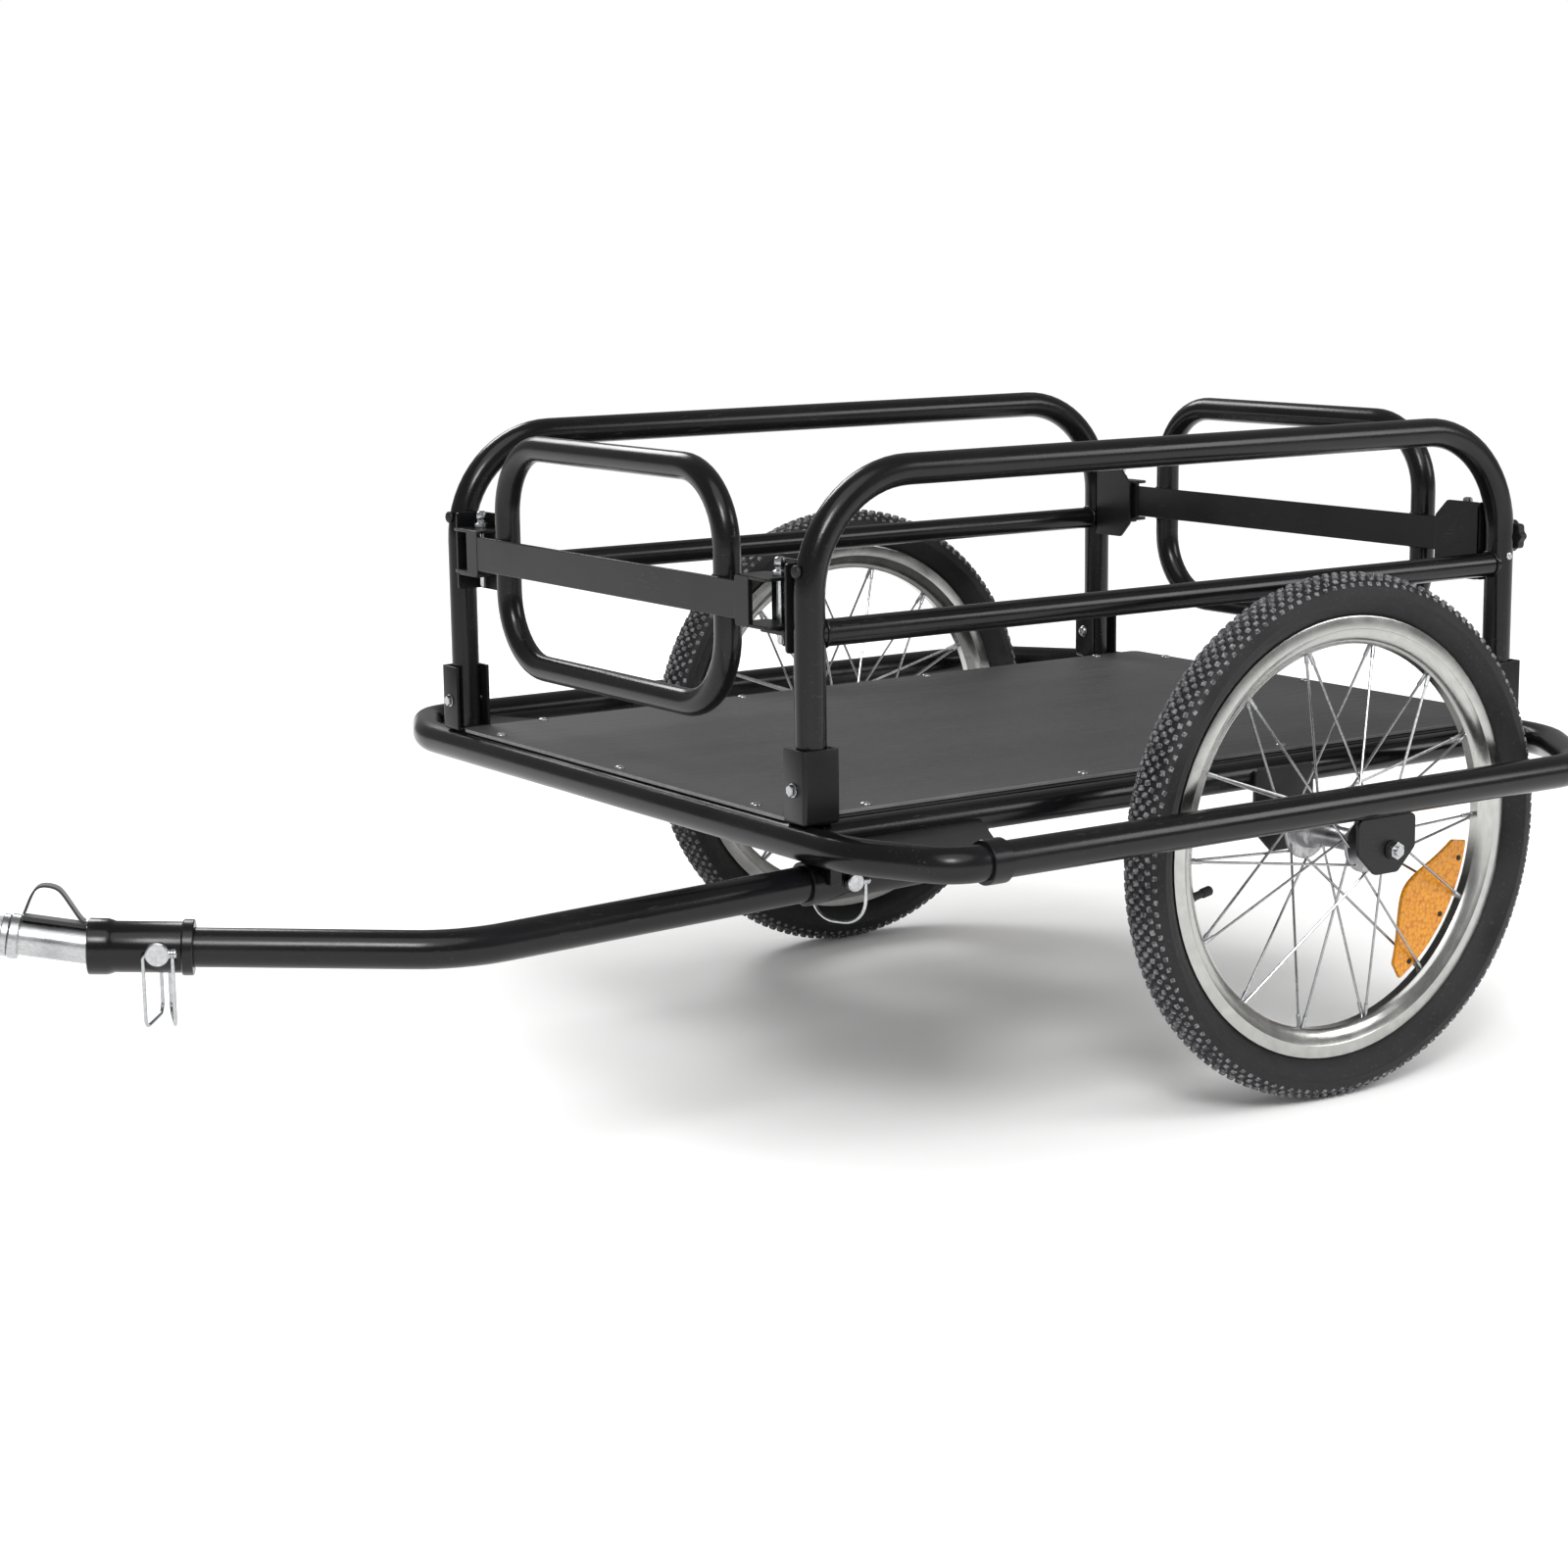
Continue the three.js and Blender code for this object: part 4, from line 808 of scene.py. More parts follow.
frontTube = guardTube("guardFront", "front")
rearTube = guardTube("guardRear", "rear")
gussetOutline = [spot(x, y, guard["gussetLow"]) for x, y in guard["gusset"]]
gussetLeft = plate("gussetLeft", sheetPaint, gussetOutline, arrow(0, 0, guard["gussetThick"]), soften=0.4)
gussetRight = copyOf(gussetLeft, "gussetRight", flipY)
settle(joinUp("guardFront", frontTube, gussetLeft, gussetRight), "frame", "black_paint", "guard_frame_front")
settle(rearTube, "frame", "black_paint", "guard_frame_rear")

sleevePlace = spot(guard["jointX"], guard["side"], guard["height"])
sleeve = turned("sleeveLeft", tubePaint, sleevePlace, ahead, guard["sleeve"], ring=True)
settlePair(sleeve, "frame", "black_paint", "guard_sleeve_{}")

rail = {"side": 315, "height": 300, "ends": (-333, 533), "welds": (-329.5, 529.5)}


def onRail(x):
    return spot(x, rail["side"], rail["height"])


railTube = bentTube("railLeft", tubePaint, [onRail(x) for x in rail["ends"]], (), radius=14)
railWelds = [weldRing("railWeld", onRail(x), ahead, radius=14.2, bead=1.6) for x in rail["welds"]]
settlePair(joinUp("railLeft", railTube, *railWelds), "frame", "black_paint", "side_rail_{}")

crossTube = {"x": 100, "half": 304, "height": 301.5, "weldHalf": 302, "weldHeight": 301}


def buildCrossTube():
    ends = [spot(crossTube["x"], y, crossTube["height"]) for y in (-crossTube["half"], crossTube["half"])]
    tube = bentTube("crossTube", tubePaint, ends, (), radius=12.5)
    welds = []
    for side in (1, -1):
        place = spot(crossTube["x"], side * crossTube["weldHalf"], crossTube["weldHeight"])
        welds.append(weldRing("crossWeld", place, sideways, radius=12.2, bead=1.4))
    return joinUp("crossTube", tube, *welds)


settle(buildCrossTube(), "frame", "black_paint", "cross_tube")

# bed board, the black strips of painted shade under its long edges, and its screws
bed = {
    "front": 550, "rear": -350, "half": 300, "low": 314.3, "top": 318,
    "shadeStrip": ((-334, 284, 311.6), (534, 308, 314.1)), "sideScrewY": 290,
    "sideScrewX": (460, 213, -35, -282), "endScrewX": (540, -340), "endScrewY": (-234, 0, 234),
}


def buildBed():
    front, rear, half = bed["front"], bed["rear"], bed["half"]
    places = ((front, half), (rear, half), (rear, -half), (front, -half))
    corners = [spot(x, y, bed["low"]) for x, y in places]
    thick = arrow(0, 0, bed["top"] - bed["low"])
    panel = plate("bedBoard", bedSkin, rounded(corners, radius=12), thick, soften=0.7)
    panel.data.materials.append(bedEdge)
    for face in panel.data.polygons:
        face.material_index = 1 if abs(face.normal.z) < 0.6 else 0
    return panel


settle(buildBed(), "frame", "bed_board", "bed_panel")
# black strips that close the slit under the bed's long edges: painted shade where the gap under each edge
# lies in shadow
shadeStripLow, shadeStripHigh = (spot(*corner) for corner in bed["shadeStrip"])
shadeStrip = block("bedLedgeLeft", sheetPaint, shadeStripLow, shadeStripHigh, soften=0.4)
settlePair(shadeStrip, "frame", "black_paint")

# a domed screw's rim and slots are shares of its height and radius
screw = {"rimShare": 0.25, "domeAngles": (0.35, 0.7, 1.05, 1.35), "slotShare": 0.55, "slotRise": 0.4}


def screwHead(name, centre, axis, radius, height):
    rimShare = screw["rimShare"]
    dome = [(0, 0), (radius, 0), (radius, rimShare * height)]
    for angle in screw["domeAngles"]:
        dome.append((radius * math.cos(angle), height * (rimShare + (1 - rimShare) * math.sin(angle))))
    head = turned(name, zincPlate, centre, axis, dome + [(0, height)], steps=24)
    across = axis.orthogonal().normalized()
    tip = centre + axis * (height + screw["slotRise"]) / 1000
    cutters = []
    for direction in (across, axis.cross(across)):
        reach = direction * radius * screw["slotShare"] / 1000
        cutters.append(rodBetween("slot", zincPlate, tip - reach, tip + reach, radius=1.0, sides=4))
    for cutter in cutters:
        cutAway(head, cutter)
    return head


def screwsAt(name, places, axis, radius, height, finish=zincPlate):
    first = places[0]
    model = screwHead(name, first, axis, radius, height)
    model.data.materials[0] = finish
    copies = [copyOf(model, name + "Copy", Matrix.Translation(place - first)) for place in places[1:]]
    return joinUp(name, model, *copies)


bedScrewSpots = [spot(x, side * bed["sideScrewY"], bed["top"]) for side in (1, -1) for x in bed["sideScrewX"]]
bedScrewSpots += [spot(x, y, bed["top"]) for x in bed["endScrewX"] for y in bed["endScrewY"]]
bedScrews = screwsAt("bedScrews", bedScrewSpots, up, radius=5.2, height=2.6)
settle(bedScrews, "frame", "zinc_steel")

# the plates that carry an axle's ends, with the outline of each as (x, z)
wheelPlate = {
    "thick": 4,
    "Inner": (329.3, [(-15, 226), (15, 226), (37.5, 248.5), (37.5, 308), (-37.5, 308), (-37.5, 248.5)]),
    "Outer": (473, [(-8.4, 228), (20.4, 228), (42, 249.6), (42, 281.7), (-30, 281.7), (-30, 249.6)]),
}
for label in ("Inner", "Outer"):
    faceY, outline = wheelPlate[label]
    shape = rounded([spot(x, faceY, z) for x, z in outline], radius=7)
    stem = "wheelPlate" + label
    carrier = plate(stem + "Left", sheetPaint, shape, arrow(0, wheelPlate["thick"], 0))
    settlePair(carrier, "frame", "black_paint", "wheel_plate_" + label.lower() + "_{}")
print("frame and bed built")


# posts and what is fixed to each of them
post = {"front": 535, "rear": -302, "side": 315, "radius": 13.95}


# a piece drawn about a left front post at X zero, copied to all four posts; {} in the body takes end and side
def atPosts(piece, stem, slot, node, body="frame"):
    for end, facing in (("front", 1), ("rear", -1)):
        for side in ("left", "right"):
            move = Matrix.Translation(spot(post[end], 0, 0)) @ Matrix.Scale(facing, 4, ahead)
            if side == "right":
                move = flipY @ move
            twin = copyOf(piece, stem + end.capitalize() + side.capitalize(), move)
            settle(twin, body.format(end, side), slot, "_".join((node, end, side)))
    bpy.data.objects.remove(piece)


foot = {"middle": (0, 316.3, 347.3), "size": (38, 32, 66), "corner": 4, "wall": 3, "edge": 0.5}


# a channel: a block without its top and its inner side, given a wall
def buildFoot():
    freshStart()
    bpy.ops.mesh.primitive_cube_add(size=1, location=arrow(*foot["middle"]), scale=arrow(*foot["size"]))
    applyPlace()
    channel = bpy.context.active_object
    bpy.ops.object.mode_set(mode="EDIT")
    bpy.ops.mesh.select_mode(type="FACE")
    bpy.ops.mesh.select_all(action="DESELECT")
    bpy.ops.object.mode_set(mode="OBJECT")
    for face in channel.data.polygons:
        face.select = face.normal.z > 0.9 or face.normal.y < -0.9
    bpy.ops.object.mode_set(mode="EDIT")
    bpy.ops.mesh.delete(type="FACE")
    bpy.ops.mesh.select_mode(type="VERT")
    bpy.ops.object.mode_set(mode="OBJECT")
    wrapUp("foot", sheetPaint)
    softenEdges(channel, foot["corner"], segments=4)
    applyModifier(channel, "SOLIDIFY", thickness=foot["wall"] / 1000, offset=-1)
    return softenEdges(channel, foot["edge"])


atPosts(buildFoot(), "foot", "black_paint", "post_foot")

postBolt = {"height": 345, "washerX": 19.2, "headX": 20.2, "shankX": 19.5, "nutX": 20.3}


def buildPostBolt():
    def beside(key, side=1):
        return arrow(side * postBolt[key], post["side"], postBolt["height"])

    return joinUp(
        "postBolt",
        washer("boltWasher", beside("washerX", -1), -ahead, radius=6.4, thick=1.1),
        screwHead("boltHead", beside("headX", -1), -ahead, radius=5.6, height=3.4),
        rodBetween("boltShank", zincPlate, beside("shankX", -1), beside("shankX"), radius=3, sides=16),
        washer("nutWasher", beside("washerX"), ahead, radius=6.4, thick=1.1),
        hexHead("boltNut", beside("nutX"), ahead, across=9.6, height=3.2),
    )


atPosts(buildPostBolt(), "postBolt", "zinc_steel", "post_bolt")

# a side arch is one tube from post to post, with a middle rail welded in
arch = {"low": 317.7, "top": 614.0, "bend": 105, "railHeight": 478.5}


def buildArch():
    front, rear = post["front"], post["rear"]
    places = ((front, arch["low"]), (front, arch["top"]), (rear, arch["top"]), (rear, arch["low"]))
    corners = [spot(x, post["side"], z) for x, z in places]
    bends = [arch["bend"]] * 2
    tube = bentTube("archTube", tubePaint, corners, bends, post["radius"], sides=36, bendStep=6)

    def railEnds(inset):
        return [spot(x, post["side"], arch["railHeight"]) for x in (rear + inset, front - inset)]

    middle = bentTube("midRail", tubePaint, railEnds(inset=6), (), radius=12)
    welds = [weldRing("midWeld", place, ahead, radius=12.2, bead=1.7) for place in railEnds(inset=13.2)]
    return joinUp("archLeft", tube, middle, *welds)


settlePair(buildArch(), "frame", "black_paint", "side_arch_{}")

# a gate bracket: a side plate on the post, a back plate and a lug that holds the drop pin
bracket = {
    "side": [(-14, 461), (14, 461), (14, 539), (-14, 539)], "sideY": 297.7,
    "back": [(240, 477), (256, 461), (300.7, 461), (300.7, 539), (256, 539), (240, 523)],
    "backX": -14,
    "lug": [(-13.8, 258), (14, 258), (14, 298), (-13.8, 298)],
    "lugZ": 476.2, "thick": 3, "lugThick": 4, "edge": 0.5,
    "postWeld": ((-12, 299.2, 463), (-12, 299.2, 537), 1.8),
    "lugWeld": ((-10, 297.6, 476), (12, 297.6, 476), 1.6),
}


def buildBracket():
    sideShape = rounded([arrow(x, bracket["sideY"], z) for x, z in bracket["side"]], radius=4)
    backShape = rounded([arrow(bracket["backX"], y, z) for y, z in bracket["back"]], radius=5)
    lugShape = rounded([arrow(x, y, bracket["lugZ"]) for x, y in bracket["lug"]], radius=3)

    def weld(name):
        start, end, radius = bracket[name]
        return rodBetween(name, tubePaint, arrow(*start), arrow(*end), radius)

    return joinUp(
        "bracket",
        plate("bracketSide", sheetPaint, sideShape, arrow(0, bracket["thick"], 0), soften=bracket["edge"]),
        plate("bracketBack", sheetPaint, backShape, arrow(bracket["thick"], 0, 0), soften=bracket["edge"]),
        plate("bracketLug", sheetPaint, lugShape, arrow(0, 0, bracket["lugThick"])),
        weld("postWeld"),
        weld("lugWeld"),
    )


atPosts(buildBracket(), "bracket", "black_paint", "gate_bracket")

dropPin = {
    "y": 271,
    "profile": [
        (0, 465.2), (2.2, 465.2), (3.2, 467.2), (3.2, 525.8), (7, 525.8), (7, 529.4), (6.2, 529.8),
        (4.4, 530.6), (4.2, 533), (5, 534.4), (5.2, 537.6), (4.6, 540.6), (3, 541.7), (0, 541.8),
    ],
}
pinModel = turned("dropPin", zincPlate, arrow(0, dropPin["y"], 0), up, dropPin["profile"], steps=32)
atPosts(pinModel, "dropPin", "zinc_steel", "gate_pin", body="drop_pin_{}_{}")

# end gates: a closed loop of tube, a flat bar across it and two ears on each side
gate = {
    "radius": 12.5, "half": 200, "low": 398, "top": 612, "seam": 505, "corner": 70, "fromPost": 9,
    "barHalf": 250, "barLow": 486, "barHigh": 520, "barThick": 4, "barSink": 0.75,
    "earPlate": ((236, 480.6), (258, 480.6), (258, 525.4), (236, 525.4)),
    "earPlateSink": 0.4, "ear": (236, 287), "earPast": 10, "earLows": (480.5, 522.5), "earThick": 3,
    "weldHalf": 7, "weldRadius": 2, "weldInset": 0.5,
}


def buildGate(name, postX, facing):
    loopX = postX + facing * gate["fromPost"]
    half, low, top = gate["half"], gate["low"], gate["top"]
    ring = ((half, gate["seam"]), (half, top), (-half, top), (-half, low), (half, low), (half, gate["seam"]))
    corners = [spot(loopX, y, z) for y, z in ring]
    bends = [gate["corner"]] * 4
    pieces = [bentTube("gateLoop", tubePaint, corners, bends, gate["radius"], bendStep=7, closed=True)]
    barX, barHalf = loopX + gate["radius"] - gate["barSink"], gate["barHalf"]
    barLow, barHigh = gate["barLow"], gate["barHigh"]
    barEnds = ((barHalf, barLow), (barHalf, barHigh), (-barHalf, barHigh), (-barHalf, barLow))
    barShape = rounded([spot(barX, y, z) for y, z in barEnds], radius=3)
    pieces.append(plate("gateBar", sheetPaint, barShape, arrow(gate["barThick"], 0, 0), soften=0.8))
    fromX = min(barX, postX - gate["earPast"])
    toX = max(barX + gate["barThick"], postX + gate["earPast"])
    earFrom, earTo = gate["ear"]
    for side in (1, -1):
        plateX = barX - gate["earPlateSink"]
        plateShape = rounded([spot(plateX, side * y, z) for y, z in gate["earPlate"]], radius=3)
        plateDepth = arrow(gate["barThick"] + 2 * gate["earPlateSink"], 0, 0)
        pieces.append(plate("earPlate", sheetPaint, plateShape, plateDepth))
        earCorners = ((fromX, earFrom), (toX, earFrom), (toX, earTo), (fromX, earTo))
        for z in gate["earLows"]:
            earShape = rounded([spot(x, side * y, z) for x, y in earCorners], radius=6)
            pieces.append(plate("ear", sheetPaint, earShape, arrow(0, 0, gate["earThick"])))
        for z in (barLow + gate["weldInset"], barHigh - gate["weldInset"]):
            place = spot(loopX + gate["radius"] - gate["weldRadius"], side * half, z)
            reach = arrow(0, gate["weldHalf"], 0)
            ends = place - reach, place + reach
            pieces.append(rodBetween("gateWeld", tubePaint, *ends, gate["weldRadius"], soften=0.6))
    return joinUp(name, *pieces)


settle(buildGate("gateFront", post["front"], 1), "front_gate", "black_paint", "gate_front")
settle(buildGate("gateRear", post["rear"], -1), "rear_gate", "black_paint", "gate_rear")

knob = {
    "fromPost": 14.3, "height": 505, "radius": 14.9, "lobes": 8, "lobeDepth": 1.1, "steps": 96,
    "thick": 8.6, "inset": 8,
    "crown": [(0, 0), (12.6, 0), (12, 2), (9.4, 4), (8.6, 5), (0, 5)],
    "stud": [(0, 0), (4.9, 0), (4.9, 9), (0, 9)],
}


def buildKnob():
    centre = spot(post["rear"] - knob["fromPost"], post["side"], knob["height"])
    outline = []
    for step in range(knob["steps"]):
        angle = math.tau * step / knob["steps"]
        reach = knob["radius"] + knob["lobeDepth"] * math.cos(knob["lobes"] * angle)
        outline.append(centre + arrow(0, reach * math.cos(angle), reach * math.sin(angle)))
    inset = ahead * knob["inset"] / 1000
    return joinUp(
        "knobLeft",
        plate("knobGrip", knobPlastic, outline, arrow(-knob["thick"], 0, 0), soften=1.1),
        turned("knobCrown", knobPlastic, centre - inset, -ahead, knob["crown"]),
        turned("knobStud", zincPlate, centre + inset, -ahead, knob["stud"], steps=24),
    )


settlePair(buildKnob(), "knob_{}", "black_plastic", "clamp_knob_{}")

# small dome bolts on the front posts and a rivet inside each rear post
dome = {"x": 547.6, "height": 533, "radius": 6, "rise": 4.2}
rivet = {"y": 328.6, "height": 487, "radius": 4, "rise": 2}
domeSpots = [spot(dome["x"], side * post["side"], dome["height"]) for side in (1, -1)]
postDomes = screwsAt("postDomes", domeSpots, ahead, dome["radius"], dome["rise"], knobPlastic)
settle(postDomes, "frame", "black_plastic")
rivetSpot = spot(post["rear"], rivet["y"], rivet["height"])
rivetLeft = screwHead("rivetLeft", rivetSpot, sideways, rivet["radius"], rivet["rise"])
settlePair(rivetLeft, "frame", "zinc_steel")
print("superstructure built")


# tow bar, its socket and the coupler
tow = {
    "rear": (400, 302, 262), "bend": (880, 318, 252), "front": (1140, 178, 266), "bendRadius": 150,
    "couplerBack": 84, "intoCoupler": 9.7,
    "plug": [(0, 0), (15.6, 0), (15.6, 1.4), (14.6, 2), (0, 2)],
    "socketStart": 10,
    "socket": collarProfile(bore=16.3, radius=19.6, start=0, end=130),
    "saddles": (14, 104), "saddleSize": (12, 30, 27), "saddleWeld": ((6, 2, 18), (6, 28, 18), 7.4),
    "saddleInner": 300,
}
towRear, towBend, towFront = (spot(*tow[key]) for key in ("rear", "bend", "front"))
towHeading = (towBend - towRear).normalized()
frontHeading = (towFront - towBend).normalized()
across = Vector((-frontHeading.y, frontHeading.x, 0)).normalized()
couplerStart = towFront - frontHeading * tow["couplerBack"] / 1000


def alongSocket(distance):
    return towRear + towHeading * distance / 1000


def alongCoupler(distance):
    return couplerStart + frontHeading * distance / 1000


def buildTowBar():
    corners = [towRear, towBend, alongCoupler(tow["intoCoupler"])]
    tube = bentTube("towBar", tubePaint, corners, (tow["bendRadius"],), radius=16, sides=40, bendStep=4)
    plug = turned("towPlug", capPlastic, alongSocket(1), -towHeading, tow["plug"], steps=40)
    return joinUp("towBar", tube, plug)


def buildSocket():
    start = alongSocket(tow["socketStart"])
    pieces = [turned("socketTube", tubePaint, start, towHeading, tow["socket"], ring=True)]
    weldStart, weldEnd, weldRadius = tow["saddleWeld"]
    for offset in tow["saddles"]:
        start = alongSocket(tow["socketStart"] + offset)
        low = Vector((start.x, tow["saddleInner"] / 1000, start.z))
        pieces.append(block("saddle", sheetPaint, low, low + arrow(*tow["saddleSize"]), soften=1))
        ends = [low + arrow(*weldStart), low + arrow(*weldEnd)]
        pieces.append(rodBetween("saddleWeld", tubePaint, *ends, weldRadius, sides=16))
    return joinUp("towSocket", *pieces)


settle(buildTowBar(), "frame", "black_paint", "tow_bar")
settle(buildSocket(), "frame", "black_paint", "tow_socket")

# hitch pins: how far each reaches from the tube's middle, its head's radius and its bail's drop
pins = {
    "socket": {"place": alongSocket(100), "axis": sideways, "reach": 19.875, "head": 8.5, "drop": 40},
    "coupler": {"place": alongCoupler(27), "axis": across, "reach": 20.875, "head": 9.5, "drop": 60},
}
bailWire = {
    "half": 11.6, "headRise": 3.8, "tailRise": 5, "hook": 3.4, "end": 5,
    "coupler": {"tailLift": 4.2, "bends": (4, 9, 9, 3, 3, 9, 9, 4)},
    "socket": {"tailLift": 1.5, "bends": (4, 22, 22, 4)},
    "coilHalf": [(1.4, 3.4), (3.2, 3.4), (3.6, 2.8), (3.6, 1.4), (3, 1), (3.6, 0.6)],
}


def buildHitchPin(name, pin):
    reach, head = pin["reach"], pin["head"]
    profile = [(0, -reach - 3), (2.8, -reach - 3), (4, -reach - 1.8), (4, reach + 0.3)]
    profile += [(head - 0.6, reach + 0.3), (head, reach + 0.9), (head, reach + 6.2)]
    profile += [(head - 1.2, reach + 7.2), (0, reach + 7.3)]
    return turned(name, zincPlate, pin["place"], pin["axis"], profile, steps=40)


# a wire from the pin's head, under the tube and up to the pin's tail
def buildBail(name, stem, pin):
    beside = pin["axis"].cross(up).normalized()
    head, tail = pin["reach"] + bailWire["headRise"], -pin["reach"] - bailWire["tailRise"]
    half, drop, hook, end = bailWire["half"], pin["drop"], bailWire["hook"], bailWire["end"]
    lift = bailWire[stem]["tailLift"]
    if stem == "coupler":    # two legs that mirror each other
        run = [(end, head, 0), (half, head, 0), (half, head, -drop), (hook, tail, -drop), (hook, tail, lift)]
        run += [(-x, y, z) for x, y, z in run[::-1]]
    else:                    # one leg that crosses under the tube
        run = [(end, head, 0), (-half, head, 0), (-half, head, -drop), (half, tail, -drop)]
        run += [(half, tail, lift), (-hook, tail, lift)]
    corners = [pin["place"] + (beside * x + pin["axis"] * y + up * z) / 1000 for x, y, z in run]
    bends = bailWire[stem]["bends"]
    wire = bentTube(name, zincPlate, corners, bends, radius=1.5, sides=14, bendStep=12)
    coilEnd = pin["place"] + (pin["axis"] * head - beside * half) / 1000
    rings = mirrored(bailWire["coilHalf"]) + bailWire["coilHalf"][::-1]
    coil = turned("coil", zincPlate, coilEnd, -beside, rings, steps=28, ring=True)
    return joinUp(name, wire, coil)


for stem, pin in pins.items():
    settle(buildHitchPin(stem + "Pin", pin), "frame", "zinc_steel", stem + "_pin")
    settle(buildBail(stem + "Bail", stem, pin), stem + "_bail_wire", "zinc_steel", stem + "_bail")

coupler = {
    "length": 83,
    "profile": [
        (16.3, 0), (21.9, 0), (22.7, 0.8), (22.7, 8), (22, 9), (20.6, 9.6), (20.6, 62), (21.8, 65),
        (22.6, 68), (22.7, 82.2), (21.9, 83), (15, 83), (15, 40), (16.3, 40),
    ],
}
couplerSleeve = turned(
    "couplerSleeve", tubePaint, couplerStart, frontHeading, coupler["profile"], steps=56, ring=True,
)
settle(couplerSleeve, "frame", "black_paint", "coupler")

# hitch arm: it leaves the coupler and rises a little on the way to its collar
arm = {
    "length": 62, "rise": 8, "from": 40, "end": 61.6, "bend": 58,
    "collar": collarProfile(bore=14.4, radius=18, start=54.2, end=62),
}
armCorner = alongCoupler(coupler["length"])
armTilt = math.asin(arm["rise"] / arm["length"])
armHeading = (Matrix.Rotation(-armTilt, 3, across) @ frontHeading).normalized()
armUp = armHeading.cross(across).normalized()
armFrame = Matrix((armHeading, across, armUp)).transposed().to_4x4()
armFrame.translation = armCorner


def onArm(x, y, z):
    return armFrame @ arrow(x, y, z)


armCorners = [alongCoupler(arm["from"]), armCorner, onArm(arm["end"], 0, 0)]
armTube = bentTube("armTube", armZinc, armCorners, (arm["bend"],), radius=14.5, sides=40, bendStep=3)
armCollar = turned("armCollar", armZinc, armCorner, armHeading, arm["collar"], ring=True)
settle(joinUp("hitchArm", armTube, armCollar), "frame", "zinc_steel", "hitch_arm")

# safety strap: a loop over a flat band, both as shares of the strap's length and height
strap = {
    "length": 53.7, "height": 27,
    "loopShares": [
        (0.1, 0), (0.16, 0.06), (0.24, 0.24), (0.33, 0.45), (0.42, 0.66), (0.5, 0.83), (0.58, 0.92),
        (0.68, 0.94), (0.78, 0.93), (0.86, 0.84), (0.91, 0.64), (0.945, 0.4), (0.97, 0.18), (0.99, 0.02),
    ],
    "loop": {"low": 19.4, "width": 11.6, "thickness": 1.9},
    "bandShares": [(0.07, 0), (0.3, 0), (0.55, 0), (0.8, 0), (1.0, 0)],
    "band": {"low": 16.8, "width": 12.4, "thickness": 3.4}, "weaveLength": 12,
}


def buildBand(name, shares, low, width, thickness):
    points = []
    for along, rise in shares:
        points.append(onArm(strap["length"] * along, -width / 2, low + strap["height"] * rise))
    traceLine(points)
    push(across * width / 1000)
    tidyEdit()
    band = wrapUp(name, webbing)
    reached = [0.0]
    for before, after in zip(points, points[1:]):
        reached.append(reached[-1] + (after - before).length)
    uv = band.data.uv_layers.new(name="along")
    for loop in band.data.loops:
        place = band.data.vertices[loop.vertex_index].co
        aside = (place - points[0]).dot(across)
        flat = place - across * aside
        nearest = min(range(len(points)), key=lambda index: (points[index] - flat).length)
        uv.data[loop.index].uv = (aside / (width / 1000), reached[nearest] / (strap["weaveLength"] / 1000))
    applyModifier(band, "SUBSURF", levels=2, render_levels=2, boundary_smooth="PRESERVE_CORNERS")
    applyModifier(band, "SOLIDIFY", thickness=thickness / 1000, offset=0)
    return softenEdges(band, width=0.3)


strapLoop = buildBand("strap", strap["loopShares"], **strap["loop"])
strapUnder = buildBand("strapUnder", strap["bandShares"], **strap["band"])
settle(joinUp("strap", strapLoop, strapUnder), "frame", "black_webbing", "safety_strap")

# swivel, universal block and axle plate, placed along the arm
swivel = {
    "yawX": 86.4,
    "profile": [
        (0, 37), (10, 37), (11, 38), (11, 62.4), (16.2, 62.4), (17, 63.2), (17, 67.6), (16.2, 68.4),
        (0, 68.4),
    ],
    "cheekFrom": 63.9, "cheekHalf": 9.4, "cheekLows": (9, -13), "cheekThick": 4,
}
knuckle = {
    "pitchX": 116.4, "noseHalf": (8.7, 8.9), "nosePast": 8,
    "pinHalf": [(7, 13.3), (7, 15.7), (6.4, 16.3), (0, 16.3)],
    "pinNeck": (3.9, 13.3), "headHalf": [(9, 7.9), (8.2, 8.7), (0, 8.7)],
    "peg": [(0, 0), (3.9, 0), (3.9, 13.8), (6.4, 13.8), (7, 14.4), (7, 16.6), (6.2, 17.2), (0, 17.2)],
}
axlePlate = {
    "face": 9.3, "thick": 4, "half": 9, "rise": 58, "upperHole": 5.2, "lowerHole": 4.5,
    "drill": (5, 18),
}


def buildSwivel():
    shape = halfCircle(swivel["yawX"], 0, swivel["cheekHalf"], -math.pi / 2)
    shape += [(swivel["cheekFrom"], swivel["cheekHalf"]), (swivel["cheekFrom"], -swivel["cheekHalf"])]
    pieces = [turned("swivelBase", armZinc, armCorner, armHeading, swivel["profile"])]
    depth = armUp * swivel["cheekThick"] / 1000
    for low in swivel["cheekLows"]:
        outline = [onArm(x, y, low) for x, y in shape]
        pieces.append(plate("cheek", armZinc, outline, depth, soften=0.7))
    return joinUp("hitchSwivel", *pieces)


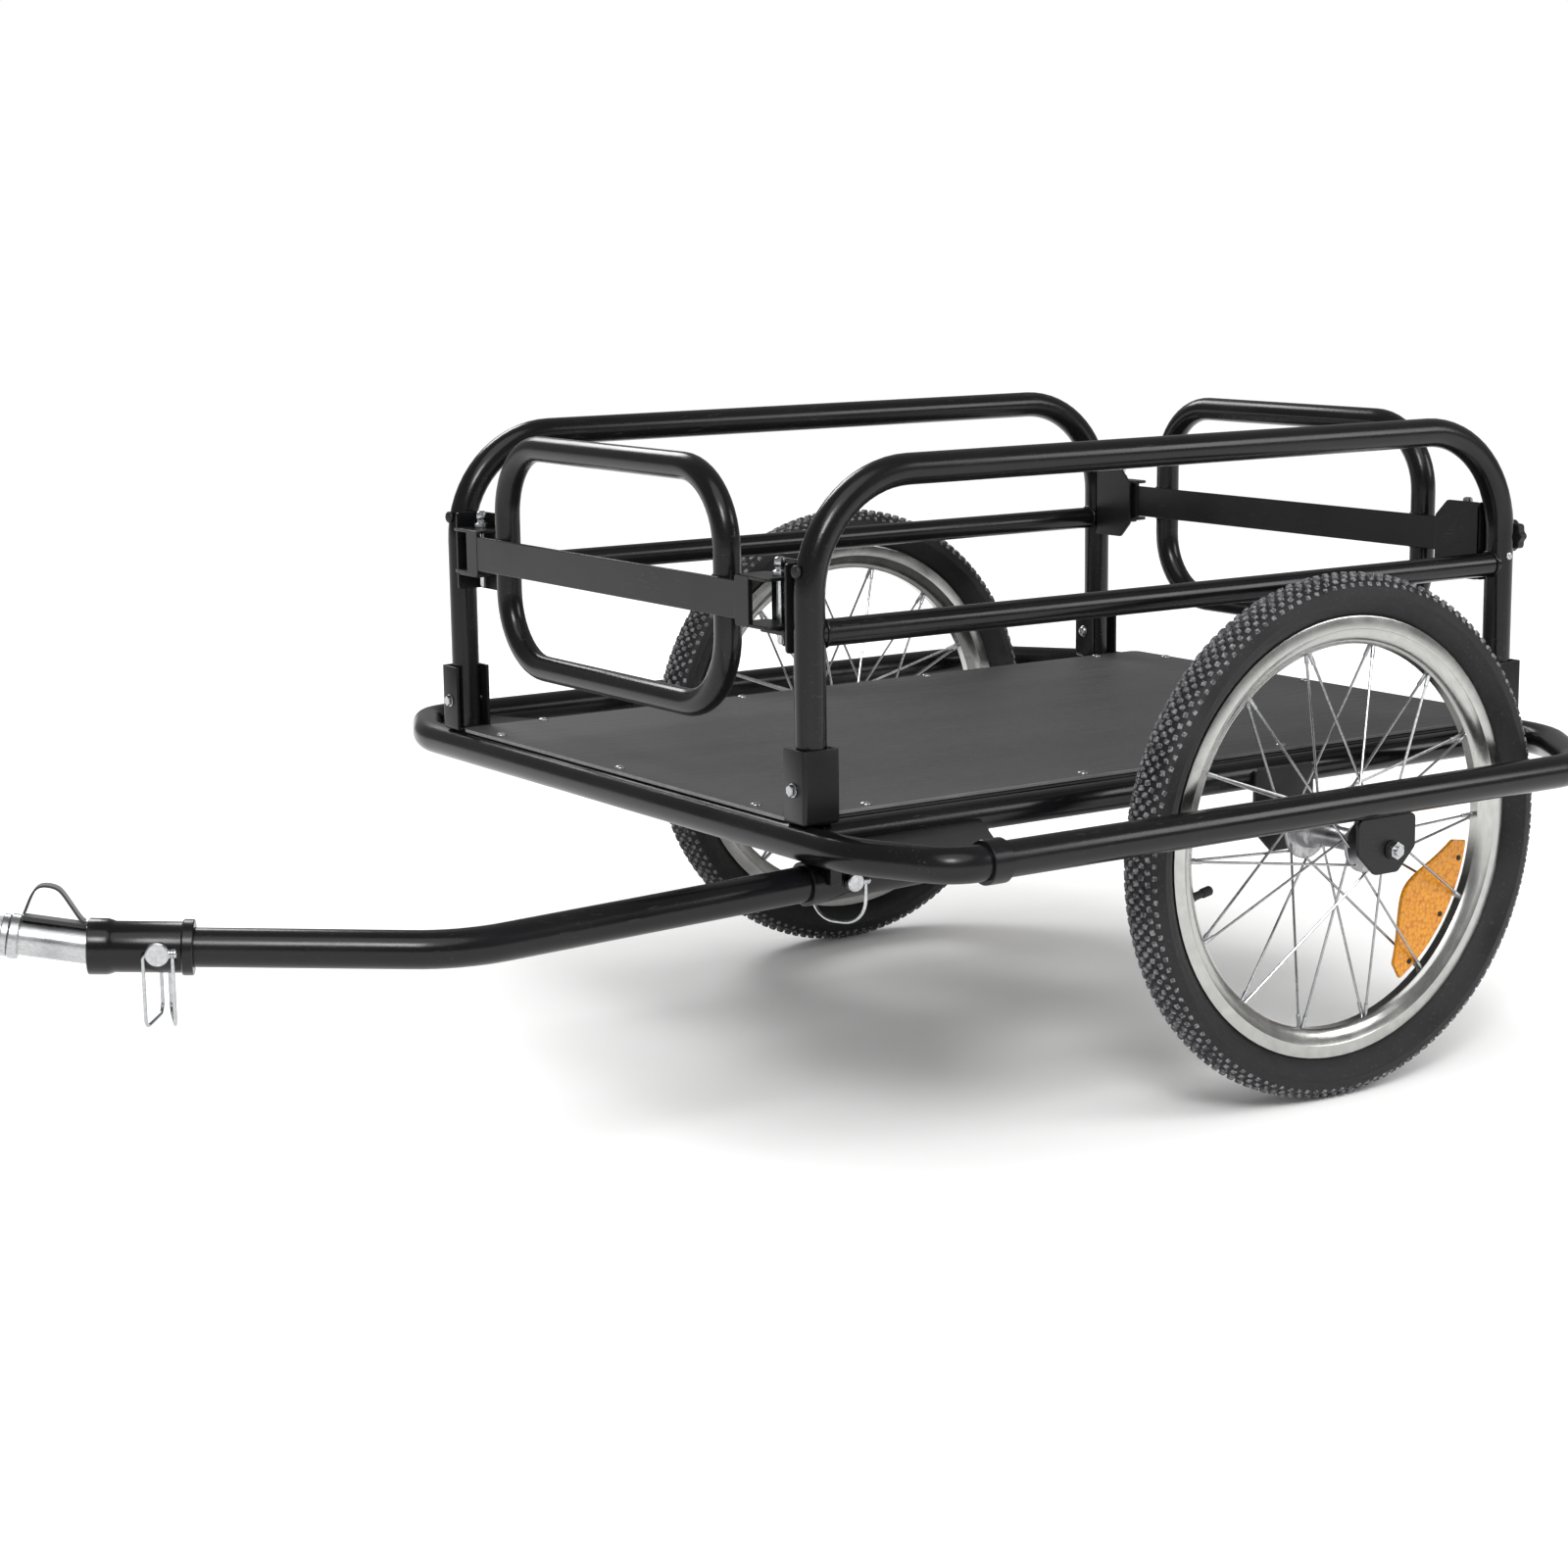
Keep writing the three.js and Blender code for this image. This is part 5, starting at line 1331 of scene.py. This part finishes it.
def buildKnuckle():
    middle = onArm(swivel["yawX"], 0, 0)
    yawPin = mirrored(knuckle["pinHalf"][::-1]) + mirrored([knuckle["pinNeck"]])
    yawPin += [knuckle["pinNeck"]] + knuckle["pinHalf"]
    head = mirrored(knuckle["headHalf"][::-1]) + knuckle["headHalf"]
    noseRise, noseHalf = knuckle["noseHalf"]
    fromX, toX = swivel["yawX"], knuckle["pitchX"] + knuckle["nosePast"]
    noseCorners = ((fromX, -noseHalf), (toX, -noseHalf), (toX, noseHalf), (fromX, noseHalf))
    nose = rounded([onArm(x, y, -noseRise) for x, y in noseCorners], radius=3)
    return joinUp(
        "universalBlock",
        turned("yawPin", zincPlate, middle, armUp, yawPin, steps=36),
        turned("knuckle", armZinc, middle, armUp, head),
        plate("nose", armZinc, nose, armUp * 2 * noseRise / 1000, soften=1),
        turned("peg", zincPlate, onArm(knuckle["pitchX"], 0, 0), across, knuckle["peg"], steps=36),
    )


def buildAxlePlate():
    x, half, rise = knuckle["pitchX"], axlePlate["half"], axlePlate["rise"]
    shape = halfCircle(x, rise, half, 0) + halfCircle(x, 0, half, math.pi)
    outline = [onArm(along, axlePlate["face"], height) for along, height in shape]
    link = plate("axlePlate", armZinc, outline, across * axlePlate["thick"] / 1000)
    for height, radius in ((rise, axlePlate["upperHole"]), (0, axlePlate["lowerHole"])):
        ends = [onArm(x, y, height) for y in axlePlate["drill"]]
        cutAway(link, rodBetween("drill", armZinc, *ends, radius, sides=40))
    bpy.ops.object.shade_smooth_by_angle(angle=math.radians(32))
    return link


settle(buildSwivel(), "swivel", "zinc_steel", "hitch_swivel")
settle(buildKnuckle(), "knuckle", "zinc_steel", "universal_block")
settle(buildAxlePlate(), "hitch_plate", "zinc_steel", "axle_plate")
print("tow bar and hitch built")


# floor and light
studio = {
    "floorRadius": 60,
    "floorStops": [(0.3, (0.955, 0.955, 0.95)), (0.8, (0.97, 0.97, 0.965))],
    "softLight": 0.78, "mirrored": 0.3, "aim": (0, 0, 0.3),
    "lights": [
        ("keyLight", (2.2, 3.4, 3.4), 1.2, 95),
        ("fillLight", (-3.2, 3.0, 2.2), 1.5, 40),
        ("backLight", (-0.4, -3.4, 3.0), 1.5, 60),
    ],
    "sun": 1.05, "sunSpread": 0.9, "sunPlace": (1, 2, 3), "sunTurn": (-0.55, 0.3, 0),
}


def addFloor():
    freshStart()
    bpy.ops.mesh.primitive_circle_add(vertices=96, radius=studio["floorRadius"], fill_type="NGON")
    floor = bpy.context.active_object
    floor.name = "floor"
    material, tree, shader = makeMaterial("paleFloor", Roughness=0.9, Specular_IOR_Level=0)
    cloud = noise(tree, objectPlace(tree), scale=3, detail=3)
    feed(tree, shader, Base_Color=ramp(tree, cloud, *studio["floorStops"]))
    floor.data.materials.append(material)


# the backdrop itself is white, its soft light on the part is weaker and its reflection in gloss is dim
def addBackdrop():
    world = bpy.data.worlds.new("studio")
    bpy.context.scene.world = world
    world.use_nodes = True
    sky = world.node_tree
    backdrop = sky.nodes["Background"]
    backdrop.inputs[0].default_value = (1, 1, 1, 1)
    soft, dim = studio["softLight"], studio["mirrored"]
    path = addNode(sky, "LightPath", {}).outputs
    seen = addNode(sky, "Math", {0: path["Is Camera Ray"], 1: 1 - soft, 2: soft}, operation="MULTIPLY_ADD")
    glossy = {0: path["Is Glossy Ray"], 1: dim - soft, 2: seen.outputs[0]}
    strength = addNode(sky, "Math", glossy, operation="MULTIPLY_ADD")
    sky.links.new(strength.outputs[0], backdrop.inputs[1])
    bpy.context.scene.view_settings.view_transform = "Standard"


def addLights():
    for name, place, size, energy in studio["lights"]:
        bpy.ops.object.light_add(type="AREA", location=place)
        lamp = bpy.context.active_object
        lamp.name = name
        lamp.data.size = size
        lamp.data.energy = energy
        lamp.rotation_euler = (Vector(studio["aim"]) - Vector(place)).to_track_quat("-Z", "Y").to_euler()
    bpy.ops.object.light_add(type="SUN", location=studio["sunPlace"], rotation=studio["sunTurn"])
    sun = bpy.context.active_object
    sun.name = "softSun"
    sun.data.angle = studio["sunSpread"]
    sun.data.energy = studio["sun"]


addFloor()
addBackdrop()
addLights()
print("studio lit")
